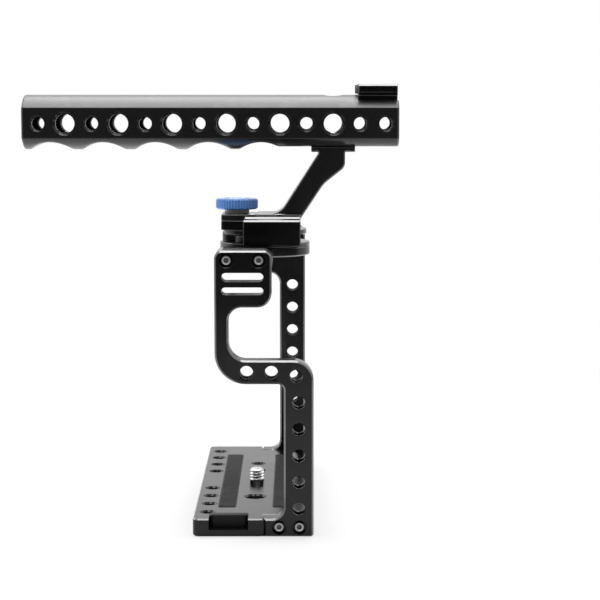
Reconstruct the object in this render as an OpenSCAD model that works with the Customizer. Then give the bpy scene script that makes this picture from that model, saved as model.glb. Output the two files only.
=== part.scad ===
// Handheld cage with a top handle on a lockable swivel.
// Millimetres. +X points to the front, +Y away from the grip side, +Z up.
// The origin is the centre of the base plate's underside.

/* [Base plate] */
// Width of the cage, over the outer faces of both side brackets
cage_w = 149; // [130:0.5:180]
// Depth of the base plate, front to back
base_d = 47.3; // [44:0.1:58]
// Thickness of the base plate
base_t = 7; // [6:0.1:9]
// Bevel along the long edges of the base plate
base_bevel = 0.8; // [0.3:0.1:1.2]
// Distance from the rear edge to the row of accessory holes
rear_row_inset = 5.45; // [4.5:0.05:7]
// Spacing of the accessory holes in the rear row
rear_row_pitch = 14.9; // [11:0.1:15]
// Width of the slot that the mounting screw slides in
screw_slot_w = 5.6; // [5.4:0.1:6.2]
// How far the mounting screw slides each way
screw_travel = 14; // [8:0.5:18]
// Width of the bumper pocket in the grip end of the base plate
bumper_pocket_w = 15.4; // [10:0.1:16]
// Depth of that pocket, inwards from the end
bumper_pocket_l = 8.8; // [7.5:0.1:9]
// Floor of that pocket above the underside
bumper_floor = 2.6; // [2:0.1:3.5]

/* [Side brackets] */
// Height of the cage, from its underside to the top of the brackets
cage_h = 112; // [100:0.5:130]
// Thickness of both side brackets
bracket_t = 8; // [7:0.1:10]
// Distance from the base plate's rear edge to the rear edge of both heads
head_inset = 8.95; // [6:0.05:12]
// Width of the bracket heads at the crossbar
head_w = 22.1; // [20:0.1:26]
// Height of the bracket heads
head_h = 22; // [20:0.1:25]
// Width of the narrow neck under the grip side head
neck_w = 5.4; // [4.5:0.1:7]
// Height of the top edge of the level arm of the grip side bracket
level_arm_z = 69.4; // [60:0.1:76]
// Depth of that level arm, top to bottom
level_arm_h = 9.3; // [8.5:0.1:11]
// Width of the upright of both brackets
upright_w = 11.6; // [10:0.1:14]
// Width of the feet that are screwed into the base plate
foot_w = 19.55; // [18:0.05:22]
// How far the far side upright stands behind the base plate's front edge
far_inset = 2.75; // [0:0.05:5]
// Spacing of the accessory holes in the uprights
upright_pitch = 10.46; // [9:0.02:12]
// Length of the long vents in the heads
vent_l = 16.2; // [12:0.1:17]
// Height of the upper vent, the lower one is a share of it
vent_h = 3.4; // [2.5:0.1:4]

/* [Crossbar and swivel] */
// Height of the crossbar's end blocks
end_block_h = 7.6; // [7:0.1:10]
// Length of the crossbar's end blocks
end_block_l = 10; // [8:0.5:14]
// Thickness of the crossbar between its end blocks and the round table
crossbar_t = 3.4; // [2.5:0.1:4]
// Diameter of the round table and of the swivel plate on it
table_d = 38; // [34:0.5:44]
// Thickness of the round table
table_t = 3.85; // [3.6:0.05:5]
// Distance from the head's rear edge to the swivel axis
swivel_inset = 18.3; // [17:0.1:20]
// Thickness of the swivel plate
swivel_plate_t = 1.7; // [1.4:0.1:2.5]
// Diameter of the collar that turns with the handle
collar_d = 35.2; // [33:0.1:38]
// Height of the collar's round neck
neck_h = 2.85; // [2:0.05:4]
// Thickness of the collar's flange
collar_t = 2.4; // [2:0.1:4]
// Diameter of the spigot that the collar turns on
spigot_d = 16; // [14:0.5:18]

/* [Side shoe] */
// Thickness of the side shoe's plate under the handle's foot
shoe_plate_t = 4; // [3:0.1:5]
// Length of the side shoe, along its slot
side_shoe_l = 23.25; // [18:0.05:26]
// Width of both accessory shoes' slots under the lips
shoe_slot_w = 18.6; // [18.3:0.1:19]
// Opening between the lips of both shoes
shoe_mouth_w = 12.7; // [12.3:0.1:13.2]
// Height of the slot under the lips
shoe_slot_h = 2.1; // [2:0.05:2.4]
// Thickness of the lips
shoe_lip_t = 2; // [1.5:0.1:2.4]
// Height of the side shoe's block
side_shoe_h = 10.3; // [9:0.1:12]
// Width of the side shoe's block
side_shoe_w = 26; // [24:0.1:28]
// How far the side shoe's lips lie below the top of the handle's foot
side_shoe_drop = 0.6; // [0:0.1:1.5]

/* [Handle] */
// Length of the handle
handle_l = 156.9; // [130:0.5:190]
// Width of the handle, the foot and the side shoe's plate
handle_w = 25; // [23:0.1:30]
// Height of the handle over its crest and its finger rests
handle_h = 22.9; // [21:0.1:27]
// Height of the flat sides
handle_side_h = 12.7; // [11.5:0.1:14]
// Rise of the arched top above the flat sides
handle_crest_h = 5.4; // [4:0.1:6.5]
// Rise of the handle's finger rests above the top of the brackets
handle_rise = 36.6; // [30:0.1:48]
// Distance from the swivel axis forward to the arm's screw in the handle
arm_reach = 28.75; // [26:0.05:34]
// Spacing of the finger scallops
scallop_pitch = 22; // [20:0.1:24]
// Radius of the finger scallops
scallop_r = 14.5; // [12.8:0.1:17]
// Depth of the finger scallops
scallop_depth = 3.2; // [2:0.1:3.8]
// Spacing between neighbouring holes through the handle
handle_hole_pitch = 11.15; // [10.8:0.05:13]
// Diameter of the large holes through the handle, cut for a 3/8 inch thread
large_hole_d = 8; // [7.6:0.1:8.4]
// Diameter of the small holes through the handle, cut for a 1/4 inch thread
small_hole_d = 5.3; // [5:0.1:5.6]
// Height of the flat seat for the arm above the finger rests
seat_rise = 1.4; // [1:0.1:2]
// Length of the front shoe
top_shoe_l = 16.4; // [14:0.1:18]
// Depth of the flat under the front shoe below the crest
top_flat_drop = 2.1; // [1.5:0.1:2.5]
// Thickness of the front shoe's floor
top_shoe_floor = 2.6; // [2:0.1:3.5]

/* [Arm] */
// Width of the slanted arm
arm_w = 15; // [12:0.1:18]
// Thickness of the slanted arm, measured level from back to front
arm_t = 10.4; // [9:0.1:11.5]
// Thickness of the arm's flange under the handle
arm_flange_t = 2.3; // [2:0.1:3.2]
// Length of that flange
arm_flange_l = 18.4; // [16:0.1:20]
// Thickness of the arm's foot
arm_foot_t = 2.5; // [2:0.1:3.5]
// Length of the arm's foot
arm_foot_l = 33.2; // [32:0.1:38]

/* [Lock knob] */
// Diameter of the lock knob
knob_d = 17.8; // [14:0.1:20]
// Thickness of the lock knob
knob_t = 4.5; // [3.5:0.1:7]
// Diameter of the knob's threaded stud
stud_d = 6.2; // [6:0.05:6.35]
// Diameter of the washer under the knob
knob_washer_d = 10.4; // [9:0.1:12]
// Thickness of that washer
knob_washer_t = 1.4; // [1:0.1:2]

/* [Fasteners] */
// Diameter of the accessory holes in the brackets and the base plate
tapped_d = 5.1; // [4.9:0.05:5.4]
// Diameter of the mounting screw's thread
mounting_thread_d = 6.35; // [6.3:0.05:6.4]
// Diameter of the mounting screw's head
mounting_head_d = 14; // [12:0.1:15]
// Diameter of the bracket screws' heads
bracket_head_d = 3.8; // [3.4:0.1:4.4]
// Diameter of the bracket screws' shanks
bracket_shank_d = 2.4; // [2:0.1:2.6]

/* [Hidden] */
$fn = 64;

// Colours of the finishes
black = [0.09, 0.09, 0.1];
dark = [0.16, 0.16, 0.17];
steel = [0.72, 0.73, 0.74];
beige = [0.7, 0.67, 0.6];
blue = [0.16, 0.4, 0.78];
rubber = [0.12, 0.12, 0.12];

// Overrun of every cut, past the face that it starts from
over = 0.6;
// Clearance between pieces that move on each other
run_gap = 0.1;
// Clearance round screws and studs in plain holes
hole_gap = 0.2;
// Clearance of pieces that lie in a pocket
pocket_gap = 0.15;

// Base plate: places and small sizes
front_x = base_d / 2;
rear_x = -front_x;
side_y = cage_w / 2;
inner_y = side_y - bracket_t;
corner_r = 2.6;
foot_x0 = front_x - foot_w;
rear_row_x = rear_x + rear_row_inset;
rear_row_start = 17.3;
rear_row_n = 4;
mouth_bevel = 0.7;
screw_recess_t = 3.4;
screw_recess_w = mounting_head_d + 4 * hole_gap;
keyhole_step = 5;
keyhole_d = mounting_thread_d + 2 * hole_gap;
socket_gap = 13;
socket_y = screw_travel + mounting_head_d / 2 + socket_gap;
socket_three_d = 8;
strip_t = 0.8;
strip_w = 7;
strip_rise = 0.3;
strip_length_share = 0.72;
strip_l = cage_w * strip_length_share;
strip_gap = 4.6;
strip_x = screw_slot_w / 2 + strip_gap + strip_w / 2;
bumper_inset = 6.3;
bumper_x = rear_x + bumper_inset + bumper_pocket_w / 2;
bumper_setback = 5;
bumper_w = bumper_pocket_w - 2 * pocket_gap;
bumper_l = bumper_pocket_l - bumper_setback - pocket_gap;
bumper_rise = 0.6;
bumper_corner_r = 1.6;
bumper_y = -side_y + bumper_setback + bumper_l / 2;
bumper_screw_d = 2.4;
bumper_screw_head_d = 4.2;
bumper_screw_l = 5;

// Brackets: places and small sizes
head_x0 = rear_x + head_inset;
head_x1 = head_x0 + head_w;
head_z0 = cage_h - head_h;
head_top_r = 3;
head_low_r = 5.6;
neck_r = 5.2;
arm_inner_r = 6.8;
arm_outer_r = 12;
arm_front_r = 8;
foot_corner = 1.2;
upright_inner_r = 2.4;
foot_r = 4.6;
far_front_x = front_x - far_inset;
far_foot_x0 = far_front_x - foot_w;
hole_inset = 5.8;
upright_hole_z = 11;
level_hole_z = level_arm_z - level_arm_h / 2;
level_hole_inset = 12.3;
level_pitch = 9.63;
corner_hole_dx = 0.93;
corner_hole_dz = 6.2;
head_mid = 10.85;
vent_x = head_x0 + head_mid;
vent_inset = 10.3;
vent_z = cage_h - vent_inset;
vent_drop = 5.35;
low_vent_share = 0.85;
grip_hole_n = 5;
far_hole_n = 8;
far_head_r = 4;

// Bracket screws
top_screw_z = cage_h - end_block_h / 2;
top_screw_x = head_x0 + head_mid;
top_screw_pitch = 12.5;
base_screw_z = base_t / 2;
base_screw_pitch = 7.92;
base_screw_inset = 10.03;
counterbore_d = 5.6;
counterbore_bevel = 0.6;
counterbore_t = 2.9;
bracket_head_t = 2;
bracket_screw_bite = 7;
hex_share = 0.55;

// Crossbar, swivel plate and what turns on it
crossbar_z = cage_h - end_block_h;
swivel_x = head_x0 + swivel_inset;
table_top = crossbar_z + table_t;
swivel_top = table_top + swivel_plate_t;
retainer_d = 24;
retainer_t = 1.4;
retainer_recess_t = 1.9;
plate_screw_inset = 2.75;
plate_screw_r = table_d / 2 - plate_screw_inset;
plate_screw_n = 4;
plate_screw_d = 2.5;
plate_screw_head_d = 4.4;
plate_screw_l = 4.6;
swivel_bolt_d = 4;
swivel_bolt_head_d = 6.6;
swivel_bolt_l = 8.6;
table_groove = 0.3;
bar_hole_gap = 10;
bar_hole_y = table_d / 2 + bar_hole_gap;
crossbar_bevel = 0.4;
collar_z = swivel_top + run_gap;
collar_flange_z = collar_z + neck_h;
collar_top = collar_flange_z + collar_t;
collar_neck_d = 28;
collar_bevel = 0.6;
brake_boss_d = 12.4;
retainer_z = crossbar_z + retainer_recess_t - run_gap - retainer_t;

// Side shoe
plate_top = collar_top + shoe_plate_t;
foot_top = plate_top + arm_foot_t;
foot_back_reach = 18.1;
foot_back_x = swivel_x - foot_back_reach;
plate_front_x = foot_back_x + arm_foot_l;
plate_corner_r = 1.5;
side_shoe_top = foot_top - side_shoe_drop;
side_shoe_z = side_shoe_top - side_shoe_h;
side_shoe_inset = 9.9;
side_shoe_x = foot_back_x + side_shoe_inset;
shoe_edge = 0.45;
collar_relief = 0.3;

// Lock knob: the stud runs through the foot and the plate into the collar's boss
stud_reach = 11.8;
stud_x = swivel_x - stud_reach;
press_gap = 0.02;
washer_top = foot_top + knob_washer_t;
knob_gap = 0.3;
knob_z = washer_top + knob_gap;
knob_bevel = 0.5;
knob_teeth = 44;
knob_tooth_h = 0.35;
stud_in_knob = 3;
foot_screw_d = 2.5;
foot_screw_head_d = 4.7;
foot_screw_dx = 5.8;
foot_screw_dy = 10;
foot_screw_shift = 0.6;
foot_screw_x = swivel_x + foot_screw_shift;
foot_screw_bite = 3.6;
foot_screw_l = shoe_plate_t + arm_foot_t + foot_screw_bite;

// Handle: as many pairs of holes as fit, the last large one over the arm's screw
handle_z = cage_h + handle_rise;
handle_top = handle_z + handle_h;
hole_rise = 11;
hole_z = handle_z + hole_rise;
hole_bevel = 1;
small_hole_bevel = 0.8;
belly_h = handle_h - handle_side_h - handle_crest_h;
first_hole_inset = 6.9;
last_hole_inset = 5.6;
end_hole_step = small_hole_d + 2 * small_hole_bevel + run_gap;
hole_run = handle_l - first_hole_inset - last_hole_inset - end_hole_step;
pair_n = floor(hole_run / (2 * handle_hole_pitch)) + 1;
large_n = pair_n - 1;
arm_x = swivel_x + arm_reach;
first_small_x = arm_x - handle_hole_pitch * (2 * large_n - 1);
handle_x0 = first_small_x - first_hole_inset;
handle_x1 = handle_x0 + handle_l;
last_small_x = handle_x1 - last_hole_inset;
first_scallop_inset = 11.4;
first_scallop_x = handle_x0 + first_scallop_inset;
scallop_n = floor((arm_x - arm_flange_l / 2 - first_scallop_x) / scallop_pitch) + 1;
seat_z = handle_z + seat_rise;
seat_x0 = first_scallop_x + scallop_pitch * (scallop_n - 1);
top_flat_z = handle_top - top_flat_drop;
top_shoe_inset = 0.6;
top_shoe_x0 = handle_x1 - top_shoe_inset - top_shoe_l;
top_flat_x0 = top_shoe_x0 - hole_gap;

// Arm: the slanted bar between its foot and the flange under the handle
arm_flange_x0 = arm_x - arm_flange_l / 2;
arm_flange_z = seat_z - arm_flange_t;
arm_back_step = 3.5;
arm_front_step = 4.2;
arm_top_x0 = arm_flange_x0 + arm_back_step;
arm_top_x1 = arm_flange_x0 + arm_flange_l - arm_front_step;
arm_slope = (arm_flange_z - plate_top) / (arm_top_x0 - plate_front_x + arm_t);
arm_bend_drop = 13.4;
arm_heel_drop = 6.3;
arm_bend_r = 14;
arm_heel_r = 4;
arm_fillet_r = 7.3;
arm_screw_d = 5;
arm_screw_head_d = 8;
arm_screw_head_t = 4;
arm_screw_bite = 9;
arm_access_d = arm_screw_head_d + 2 * hole_gap;
arm_screw_seat = hole_z - large_hole_d / 2 - arm_screw_head_t;
dowel_d = 2;
dowel_l = 5;
dowel_dx = 7;

// Front shoe
top_shoe_wall = 1.5;
top_shoe_w = shoe_slot_w + 2 * top_shoe_wall;
top_shoe_edge = 0.9;
top_shoe_foot_w = 16.4;
top_shoe_undercut = 1.7;
top_shoe_top = top_flat_z + top_shoe_floor + shoe_slot_h + shoe_lip_t;
leaf_t = 0.5;
leaf_w = 12;
leaf_tab_w = 9;
leaf_tab_h = 3.6;
leaf_gap = 0.5;
shoe_groove = 0.5;
shoe_screw_d = 3;
shoe_screw_head_d = 5.4;
shoe_screw_pitch = 7.6;
shoe_screw_l = 7;

// Mounting screw
mounting_head_t = 2.4;
mounting_washer_t = 0.5;
mounting_tip = 5;
mounting_neck_d = screw_slot_w - 2 * hole_gap;
mounting_head_z = screw_recess_t - run_gap - mounting_washer_t - run_gap - mounting_head_t;
coin_slot_w = 1.8;
coin_slot_t = 1.1;

// Unit vector
function unit(v) = v / norm(v);
// Corner before and after corner i of a closed outline
function before(p, i) = p[(i + len(p) - 1) % len(p)];
function after(p, i) = p[(i + 1) % len(p)];
function flat(c) = [c[0], c[1]];
// Directions from corner i along both its edges
function back_dir(p, i) = unit(flat(before(p, i)) - flat(p[i]));
function ahead_dir(p, i) = unit(flat(after(p, i)) - flat(p[i]));
function bisector(p, i) = unit(back_dir(p, i) + ahead_dir(p, i));
function half_angle(p, i) = acos(back_dir(p, i) * ahead_dir(p, i)) / 2;
function reach(p, i) = p[i][2] / tan(half_angle(p, i));
function arc_centre(p, i) = flat(p[i]) + bisector(p, i) * p[i][2] / sin(half_angle(p, i));
function turn(p, i) =
    ahead_dir(p, i)[0] * back_dir(p, i)[1] - ahead_dir(p, i)[1] * back_dir(p, i)[0];

// What lies between corner i and its arc
module corner_scrap(p, i) {
    difference() {
        polygon([
            flat(p[i]) - bisector(p, i) * over,
            flat(p[i]) + back_dir(p, i) * reach(p, i),
            flat(p[i]) + ahead_dir(p, i) * reach(p, i)
        ]);
        translate(arc_centre(p, i)) circle(r = p[i][2]);
    }
}

// Outline from corners [x, y, radius], listed anticlockwise, with true arcs
module rounded_outline(p) {
    difference() {
        union() {
            polygon([for (c = p) flat(c)]);
            for (i = [0 : len(p) - 1])
                if (p[i][2] > 0 && turn(p, i) < 0) corner_scrap(p, i);
        }
        for (i = [0 : len(p) - 1])
            if (p[i][2] > 0 && turn(p, i) > 0) corner_scrap(p, i);
    }
}

// Round-ended slot outline along X
module slot_outline(length, width) {
    square([length - width, width], center = true);
    for (side = [-1, 1])
        translate([side * (length - width) / 2, 0]) circle(d = width);
}

// Outline in X and Z, made into a plate from y0 towards +Y
module upright_plate(y0, thickness) {
    translate([0, y0 + thickness, 0]) rotate([90, 0, 0]) linear_extrude(thickness) children();
}

// Through hole along Z from z = 0, bevelled at both mouths
module bevelled_hole(d, length, bevel) {
    translate([0, 0, -over]) cylinder(d = d, h = length + 2 * over);
    for (end = [0, 1])
        translate([0, 0, end * length]) mirror([0, 0, end])
            translate([0, 0, -over]) cylinder(d1 = d + 2 * (bevel + over), d2 = d, h = bevel + over);
}

// Countersunk screw along -Z, with its head flush at z = 0
module countersunk_screw(d, head_d, length, drive_share) {
    difference() {
        union() {
            translate([0, 0, -length]) cylinder(d = d, h = length);
            translate([0, 0, -(head_d - d) / 2]) cylinder(d1 = d, d2 = head_d, h = (head_d - d) / 2);
        }
        translate([0, 0, -head_d * drive_share / 2])
            cylinder(d = head_d * drive_share, h = head_d * drive_share, $fn = 6);
    }
}

// Hole that takes such a screw, with clearance
module countersunk_hole(d, head_d, length) {
    translate([0, 0, -length - over]) cylinder(d = d + hole_gap, h = length + 2 * over);
    translate([0, 0, -(head_d - d) / 2 - hole_gap / 2])
        cylinder(d1 = d, d2 = head_d + hole_gap, h = (head_d - d) / 2 + hole_gap / 2);
    cylinder(d = head_d + hole_gap, h = over);
}

// Cap screw along -Z, with the top of its head at z = 0
module cap_screw(d, head_d, head_t, length) {
    difference() {
        union() {
            translate([0, 0, -head_t]) cylinder(d = head_d, h = head_t);
            translate([0, 0, -head_t - length]) cylinder(d = d, h = length);
        }
        translate([0, 0, -head_t * hex_share])
            cylinder(d = head_d * hex_share, h = head_t, $fn = 6);
    }
}

// Places its children at the screws of a bracket's top, facing out from the bracket
module at_top_screws() {
    for (side = [-1, 1])
        translate([top_screw_x + side * top_screw_pitch / 2, 0, top_screw_z]) children();
}

// Places its children at the screws of a foot that starts at x0
module at_base_screws(x0) {
    for (side = [-1, 1])
        translate([x0 + base_screw_inset + side * base_screw_pitch / 2, 0, base_screw_z]) children();
}

// Stepped hole for a bracket screw, from the bracket's outer face at y = 0 along +Y
module bracket_screw_hole() {
    rotate([90, 0, 0]) {
        translate([0, 0, -counterbore_t]) cylinder(d = counterbore_d, h = counterbore_t + over);
        translate([0, 0, -bracket_t - over])
            cylinder(d = bracket_shank_d + hole_gap, h = bracket_t + 2 * over);
        translate([0, 0, -counterbore_bevel])
            cylinder(d1 = counterbore_d, d2 = counterbore_d + 2 * (counterbore_bevel + over),
                h = counterbore_bevel + over);
    }
}

// Bracket screw, in the same place as its hole
module bracket_screw() {
    rotate([90, 0, 0]) translate([0, 0, bracket_head_t - counterbore_t])
        cap_screw(bracket_shank_d, bracket_head_d, bracket_head_t,
            bracket_t - counterbore_t + bracket_screw_bite);
}

// Blind hole that a bracket screw bites into, behind the bracket whose outer face is at y = 0
module bracket_screw_thread() {
    rotate([90, 0, 0]) translate([0, 0, -bracket_t - bracket_screw_bite - hole_gap])
        cylinder(d = bracket_shank_d + 2 * press_gap, h = bracket_screw_bite + hole_gap + over);
}

// Puts its children on the grip side, side = -1, or mirrors them to the far side, side = 1
module on_side(side) {
    mirror([0, (1 + side) / 2, 0]) translate([0, -side_y, 0]) children();
}

// Channel shape of an accessory shoe in Y and Z, with its lips' top at z = 0 and its middle at y = 0
module shoe_outline(width, height, edge) {
    floor_z = -shoe_lip_t - shoe_slot_h;
    polygon([
        [-width / 2, -height], [width / 2, -height], [width / 2, -edge], [width / 2 - edge, 0],
        [shoe_mouth_w / 2, 0], [shoe_mouth_w / 2, -shoe_lip_t], [shoe_slot_w / 2, -shoe_lip_t],
        [shoe_slot_w / 2, floor_z], [-shoe_slot_w / 2, floor_z], [-shoe_slot_w / 2, -shoe_lip_t],
        [-shoe_mouth_w / 2, -shoe_lip_t], [-shoe_mouth_w / 2, 0], [-width / 2 + edge, 0], [-width / 2, -edge]
    ]);
}

// Outline in Y and Z, made into a bar from x0 towards +X
module lengthwise_bar(x0, length) {
    translate([x0, 0, 0]) rotate([90, 0, 90]) linear_extrude(length) children();
}

// Plan outline of the handle's foot and of the plate under it
module foot_plan() {
    translate([foot_back_x, -handle_w / 2])
        rounded_outline([[0, 0, plate_corner_r], [arm_foot_l, 0, plate_corner_r],
            [arm_foot_l, handle_w, plate_corner_r], [0, handle_w, plate_corner_r]]);
}

// Places its children at the four screws of the foot, at the foot's top face
module at_foot_screws() {
    for (dx = [-1, 1], dy = [-1, 1])
        translate([foot_screw_x + dx * foot_screw_dx, dy * foot_screw_dy, foot_top]) children();
}

// Places its children at the screws of the swivel plate
module at_plate_screws() {
    for (i = [0 : plate_screw_n - 1])
        translate([swivel_x, 0, swivel_top])
            rotate([0, 0, 360 * (i + 0.5) / plate_screw_n])
                translate([plate_screw_r, 0, 0]) children();
}

// Places its children at the screws of the front shoe, at the leaf's top face
module at_top_shoe_screws() {
    for (side = [-1, 1])
        translate([top_shoe_x0 + top_shoe_l / 2 + side * shoe_screw_pitch / 2, 0,
            top_flat_z + top_shoe_floor + leaf_t]) children();
}

// Base plate: bevelled section, rounded plan, holes, pocket and notches for the brackets' feet
module base_plate() {
    color(black) difference() {
        intersection() {
            upright_plate(-side_y, cage_w)
                rounded_outline([[rear_x, 0, corner_r], [front_x, 0, base_bevel],
                    [front_x, base_t, base_bevel], [rear_x, base_t, base_bevel]]);
            translate([0, 0, -over]) linear_extrude(base_t + 2 * over)
                rounded_outline([[rear_x, -side_y, corner_r], [front_x, -side_y, 0],
                    [front_x, side_y, 0], [rear_x, side_y, corner_r]]);
        }
        translate([foot_x0, -side_y - over, -over])
            cube([foot_w + over, bracket_t + over, base_t + 2 * over]);
        translate([far_foot_x0, inner_y, -over])
            cube([foot_w + far_inset + over, bracket_t + over, base_t + 2 * over]);
        on_side(-1) at_base_screws(foot_x0) bracket_screw_thread();
        on_side(1) at_base_screws(far_foot_x0) bracket_screw_thread();
        for (side = [-1, 1], i = [0 : rear_row_n - 1])
            translate([rear_row_x, side * (rear_row_start + i * rear_row_pitch), 0])
                bevelled_hole(tapped_d, base_t, mouth_bevel);
        translate([0, -socket_y, 0]) bevelled_hole(socket_three_d, base_t, mouth_bevel);
        translate([0, socket_y, 0]) bevelled_hole(tapped_d, base_t, mouth_bevel);
        screw_slot();
        strip_grooves();
        bumper_pocket();
    }
}

// Slot, head recess and keyhole for the captive mounting screw
module screw_slot() {
    rotate([0, 0, 90]) translate([0, 0, -over])
        linear_extrude(screw_recess_t + over) slot_outline(2 * screw_travel + screw_recess_w, screw_recess_w);
    rotate([0, 0, 90]) translate([0, 0, -over])
        linear_extrude(base_t + 2 * over) slot_outline(2 * screw_travel + screw_slot_w, screw_slot_w);
    translate([-screw_slot_w / 2, 0, -over])
        cube([screw_slot_w, screw_travel + keyhole_step, base_t + 2 * over]);
    translate([0, screw_travel + keyhole_step, -over]) cylinder(d = keyhole_d, h = base_t + 2 * over);
}

// Shallow grooves that hold the grip strips
module strip_grooves() {
    for (side = [-1, 1])
        translate([side * strip_x - strip_w / 2 - pocket_gap, -strip_l / 2 - pocket_gap,
            base_t + strip_rise - strip_t])
            cube([strip_w + 2 * pocket_gap, strip_l + 2 * pocket_gap, strip_t]);
}

// Pocket for the bumper in the grip end, with its screw hole
module bumper_pocket() {
    translate([bumper_x - bumper_pocket_w / 2, -side_y - over, bumper_floor])
        cube([bumper_pocket_w, bumper_pocket_l + over, base_t]);
    translate([bumper_x, bumper_y, 0]) mirror([0, 0, 1])
        countersunk_hole(bumper_screw_d, bumper_screw_head_d, bumper_floor);
}

// Two rubber strips on the base plate, one on each side of the screw slot
module base_grip_strips() {
    color(rubber) for (side = [-1, 1])
        translate([side * strip_x - strip_w / 2, -strip_l / 2, base_t + strip_rise - strip_t])
            cube([strip_w, strip_l, strip_t]);
}

// Rubber bumper in the pocket, with rounded top corners
module end_bumper() {
    color(rubber) difference() {
        translate([bumper_x, 0, bumper_floor]) upright_plate(bumper_y - bumper_l / 2, bumper_l)
            rounded_outline([[-bumper_w / 2, 0, 0], [bumper_w / 2, 0, 0],
                [bumper_w / 2, base_t - bumper_floor + bumper_rise, bumper_corner_r],
                [-bumper_w / 2, base_t - bumper_floor + bumper_rise, bumper_corner_r]]);
        translate([bumper_x, bumper_y, 0])
            cylinder(d = bumper_screw_d + 2 * press_gap, h = bumper_screw_l + hole_gap);
    }
}

// Countersunk screw that holds the bumper from below
module end_bumper_screw() {
    color(steel) translate([bumper_x, bumper_y, 0]) mirror([0, 0, 1])
        countersunk_screw(bumper_screw_d, bumper_screw_head_d, bumper_screw_l, hex_share);
}

// Captive mounting screw: coin-slotted head below, neck in the slot, thread above
module mounting_screw() {
    color(steel) difference() {
        union() {
            translate([0, 0, mounting_head_z]) cylinder(d = mounting_head_d, h = mounting_head_t);
            translate([0, 0, mounting_head_z])
                cylinder(d = mounting_neck_d, h = base_t + hole_gap - mounting_head_z + over);
            translate([0, 0, base_t + hole_gap])
                cylinder(d = mounting_thread_d, h = mounting_tip - hole_gap - mouth_bevel);
            translate([0, 0, base_t + mounting_tip - mouth_bevel])
                cylinder(d1 = mounting_thread_d, d2 = mounting_thread_d - 2 * mouth_bevel, h = mouth_bevel);
        }
        translate([-mounting_head_d, -coin_slot_w / 2, mounting_head_z - over])
            cube([2 * mounting_head_d, coin_slot_w, coin_slot_t + over]);
    }
}

// Washer between that screw's head and the recess
module mounting_screw_washer() {
    color(beige) translate([0, 0, mounting_head_z + mounting_head_t + run_gap]) difference() {
        cylinder(d = mounting_head_d, h = mounting_washer_t);
        translate([0, 0, -over])
            cylinder(d = mounting_neck_d + 2 * run_gap, h = mounting_washer_t + 2 * over);
    }
}

// Vents and top screw holes that both bracket heads have
module head_cuts() {
    for (i = [0, 1])
        translate([vent_x, -over, vent_z - i * vent_drop]) upright_plate(0, bracket_t + 2 * over)
            slot_outline(vent_l, vent_h * (i == 0 ? 1 : low_vent_share));
    at_top_screws() bracket_screw_hole();
}

// Tapped accessory hole through a bracket whose outer face is at y = 0
module bracket_hole(x, z) {
    translate([x, -over, z]) rotate([-90, 0, 0]) cylinder(d = tapped_d, h = bracket_t + 2 * over);
}

// Grip side bracket: head, thin neck, level arm and upright in one S-shaped plate
module grip_side_bracket() {
    color(black) on_side(-1) difference() {
        upright_plate(0, bracket_t)
            rounded_outline([
                [foot_x0, 0, 0], [front_x, 0, foot_corner], [front_x, level_arm_z, arm_front_r],
                [head_x0 + neck_w, level_arm_z, arm_inner_r], [head_x0 + neck_w, head_z0, neck_r],
                [head_x1, head_z0, head_low_r], [head_x1, cage_h, head_top_r], [head_x0, cage_h, head_top_r],
                [head_x0, level_arm_z - level_arm_h, arm_outer_r],
                [front_x - upright_w, level_arm_z - level_arm_h, upright_inner_r],
                [front_x - upright_w, base_t, foot_r], [foot_x0, base_t, 0]
            ]);
        head_cuts();
        at_base_screws(foot_x0) bracket_screw_hole();
        for (i = [0, 1])
            bracket_hole(head_x0 + level_hole_inset + i * level_pitch, level_hole_z);
        bracket_hole(front_x - hole_inset - corner_hole_dx, level_arm_z - corner_hole_dz);
        for (i = [0 : grip_hole_n - 1])
            bracket_hole(front_x - hole_inset, upright_hole_z + i * upright_pitch);
    }
}

// Far side bracket: upright at the front, head reaching back to the crossbar
module far_side_bracket() {
    color(black) on_side(1) difference() {
        upright_plate(0, bracket_t)
            rounded_outline([
                [far_foot_x0, 0, 0], [far_front_x, 0, foot_corner], [far_front_x, cage_h, far_head_r],
                [head_x0, cage_h, head_top_r], [head_x0, head_z0, head_low_r],
                [far_front_x - upright_w, head_z0, neck_r], [far_front_x - upright_w, base_t, foot_r],
                [far_foot_x0, base_t, 0]
            ]);
        head_cuts();
        at_base_screws(far_foot_x0) bracket_screw_hole();
        for (i = [0 : far_hole_n - 1])
            bracket_hole(far_front_x - hole_inset, upright_hole_z + i * upright_pitch);
    }
}

module grip_bracket_top_screws() {
    color(steel) on_side(-1) at_top_screws() bracket_screw();
}

module grip_bracket_base_screws() {
    color(steel) on_side(-1) at_base_screws(foot_x0) bracket_screw();
}

module far_bracket_top_screws() {
    color(steel) on_side(1) at_top_screws() bracket_screw();
}

module far_bracket_base_screws() {
    color(steel) on_side(1) at_base_screws(far_foot_x0) bracket_screw();
}

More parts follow.
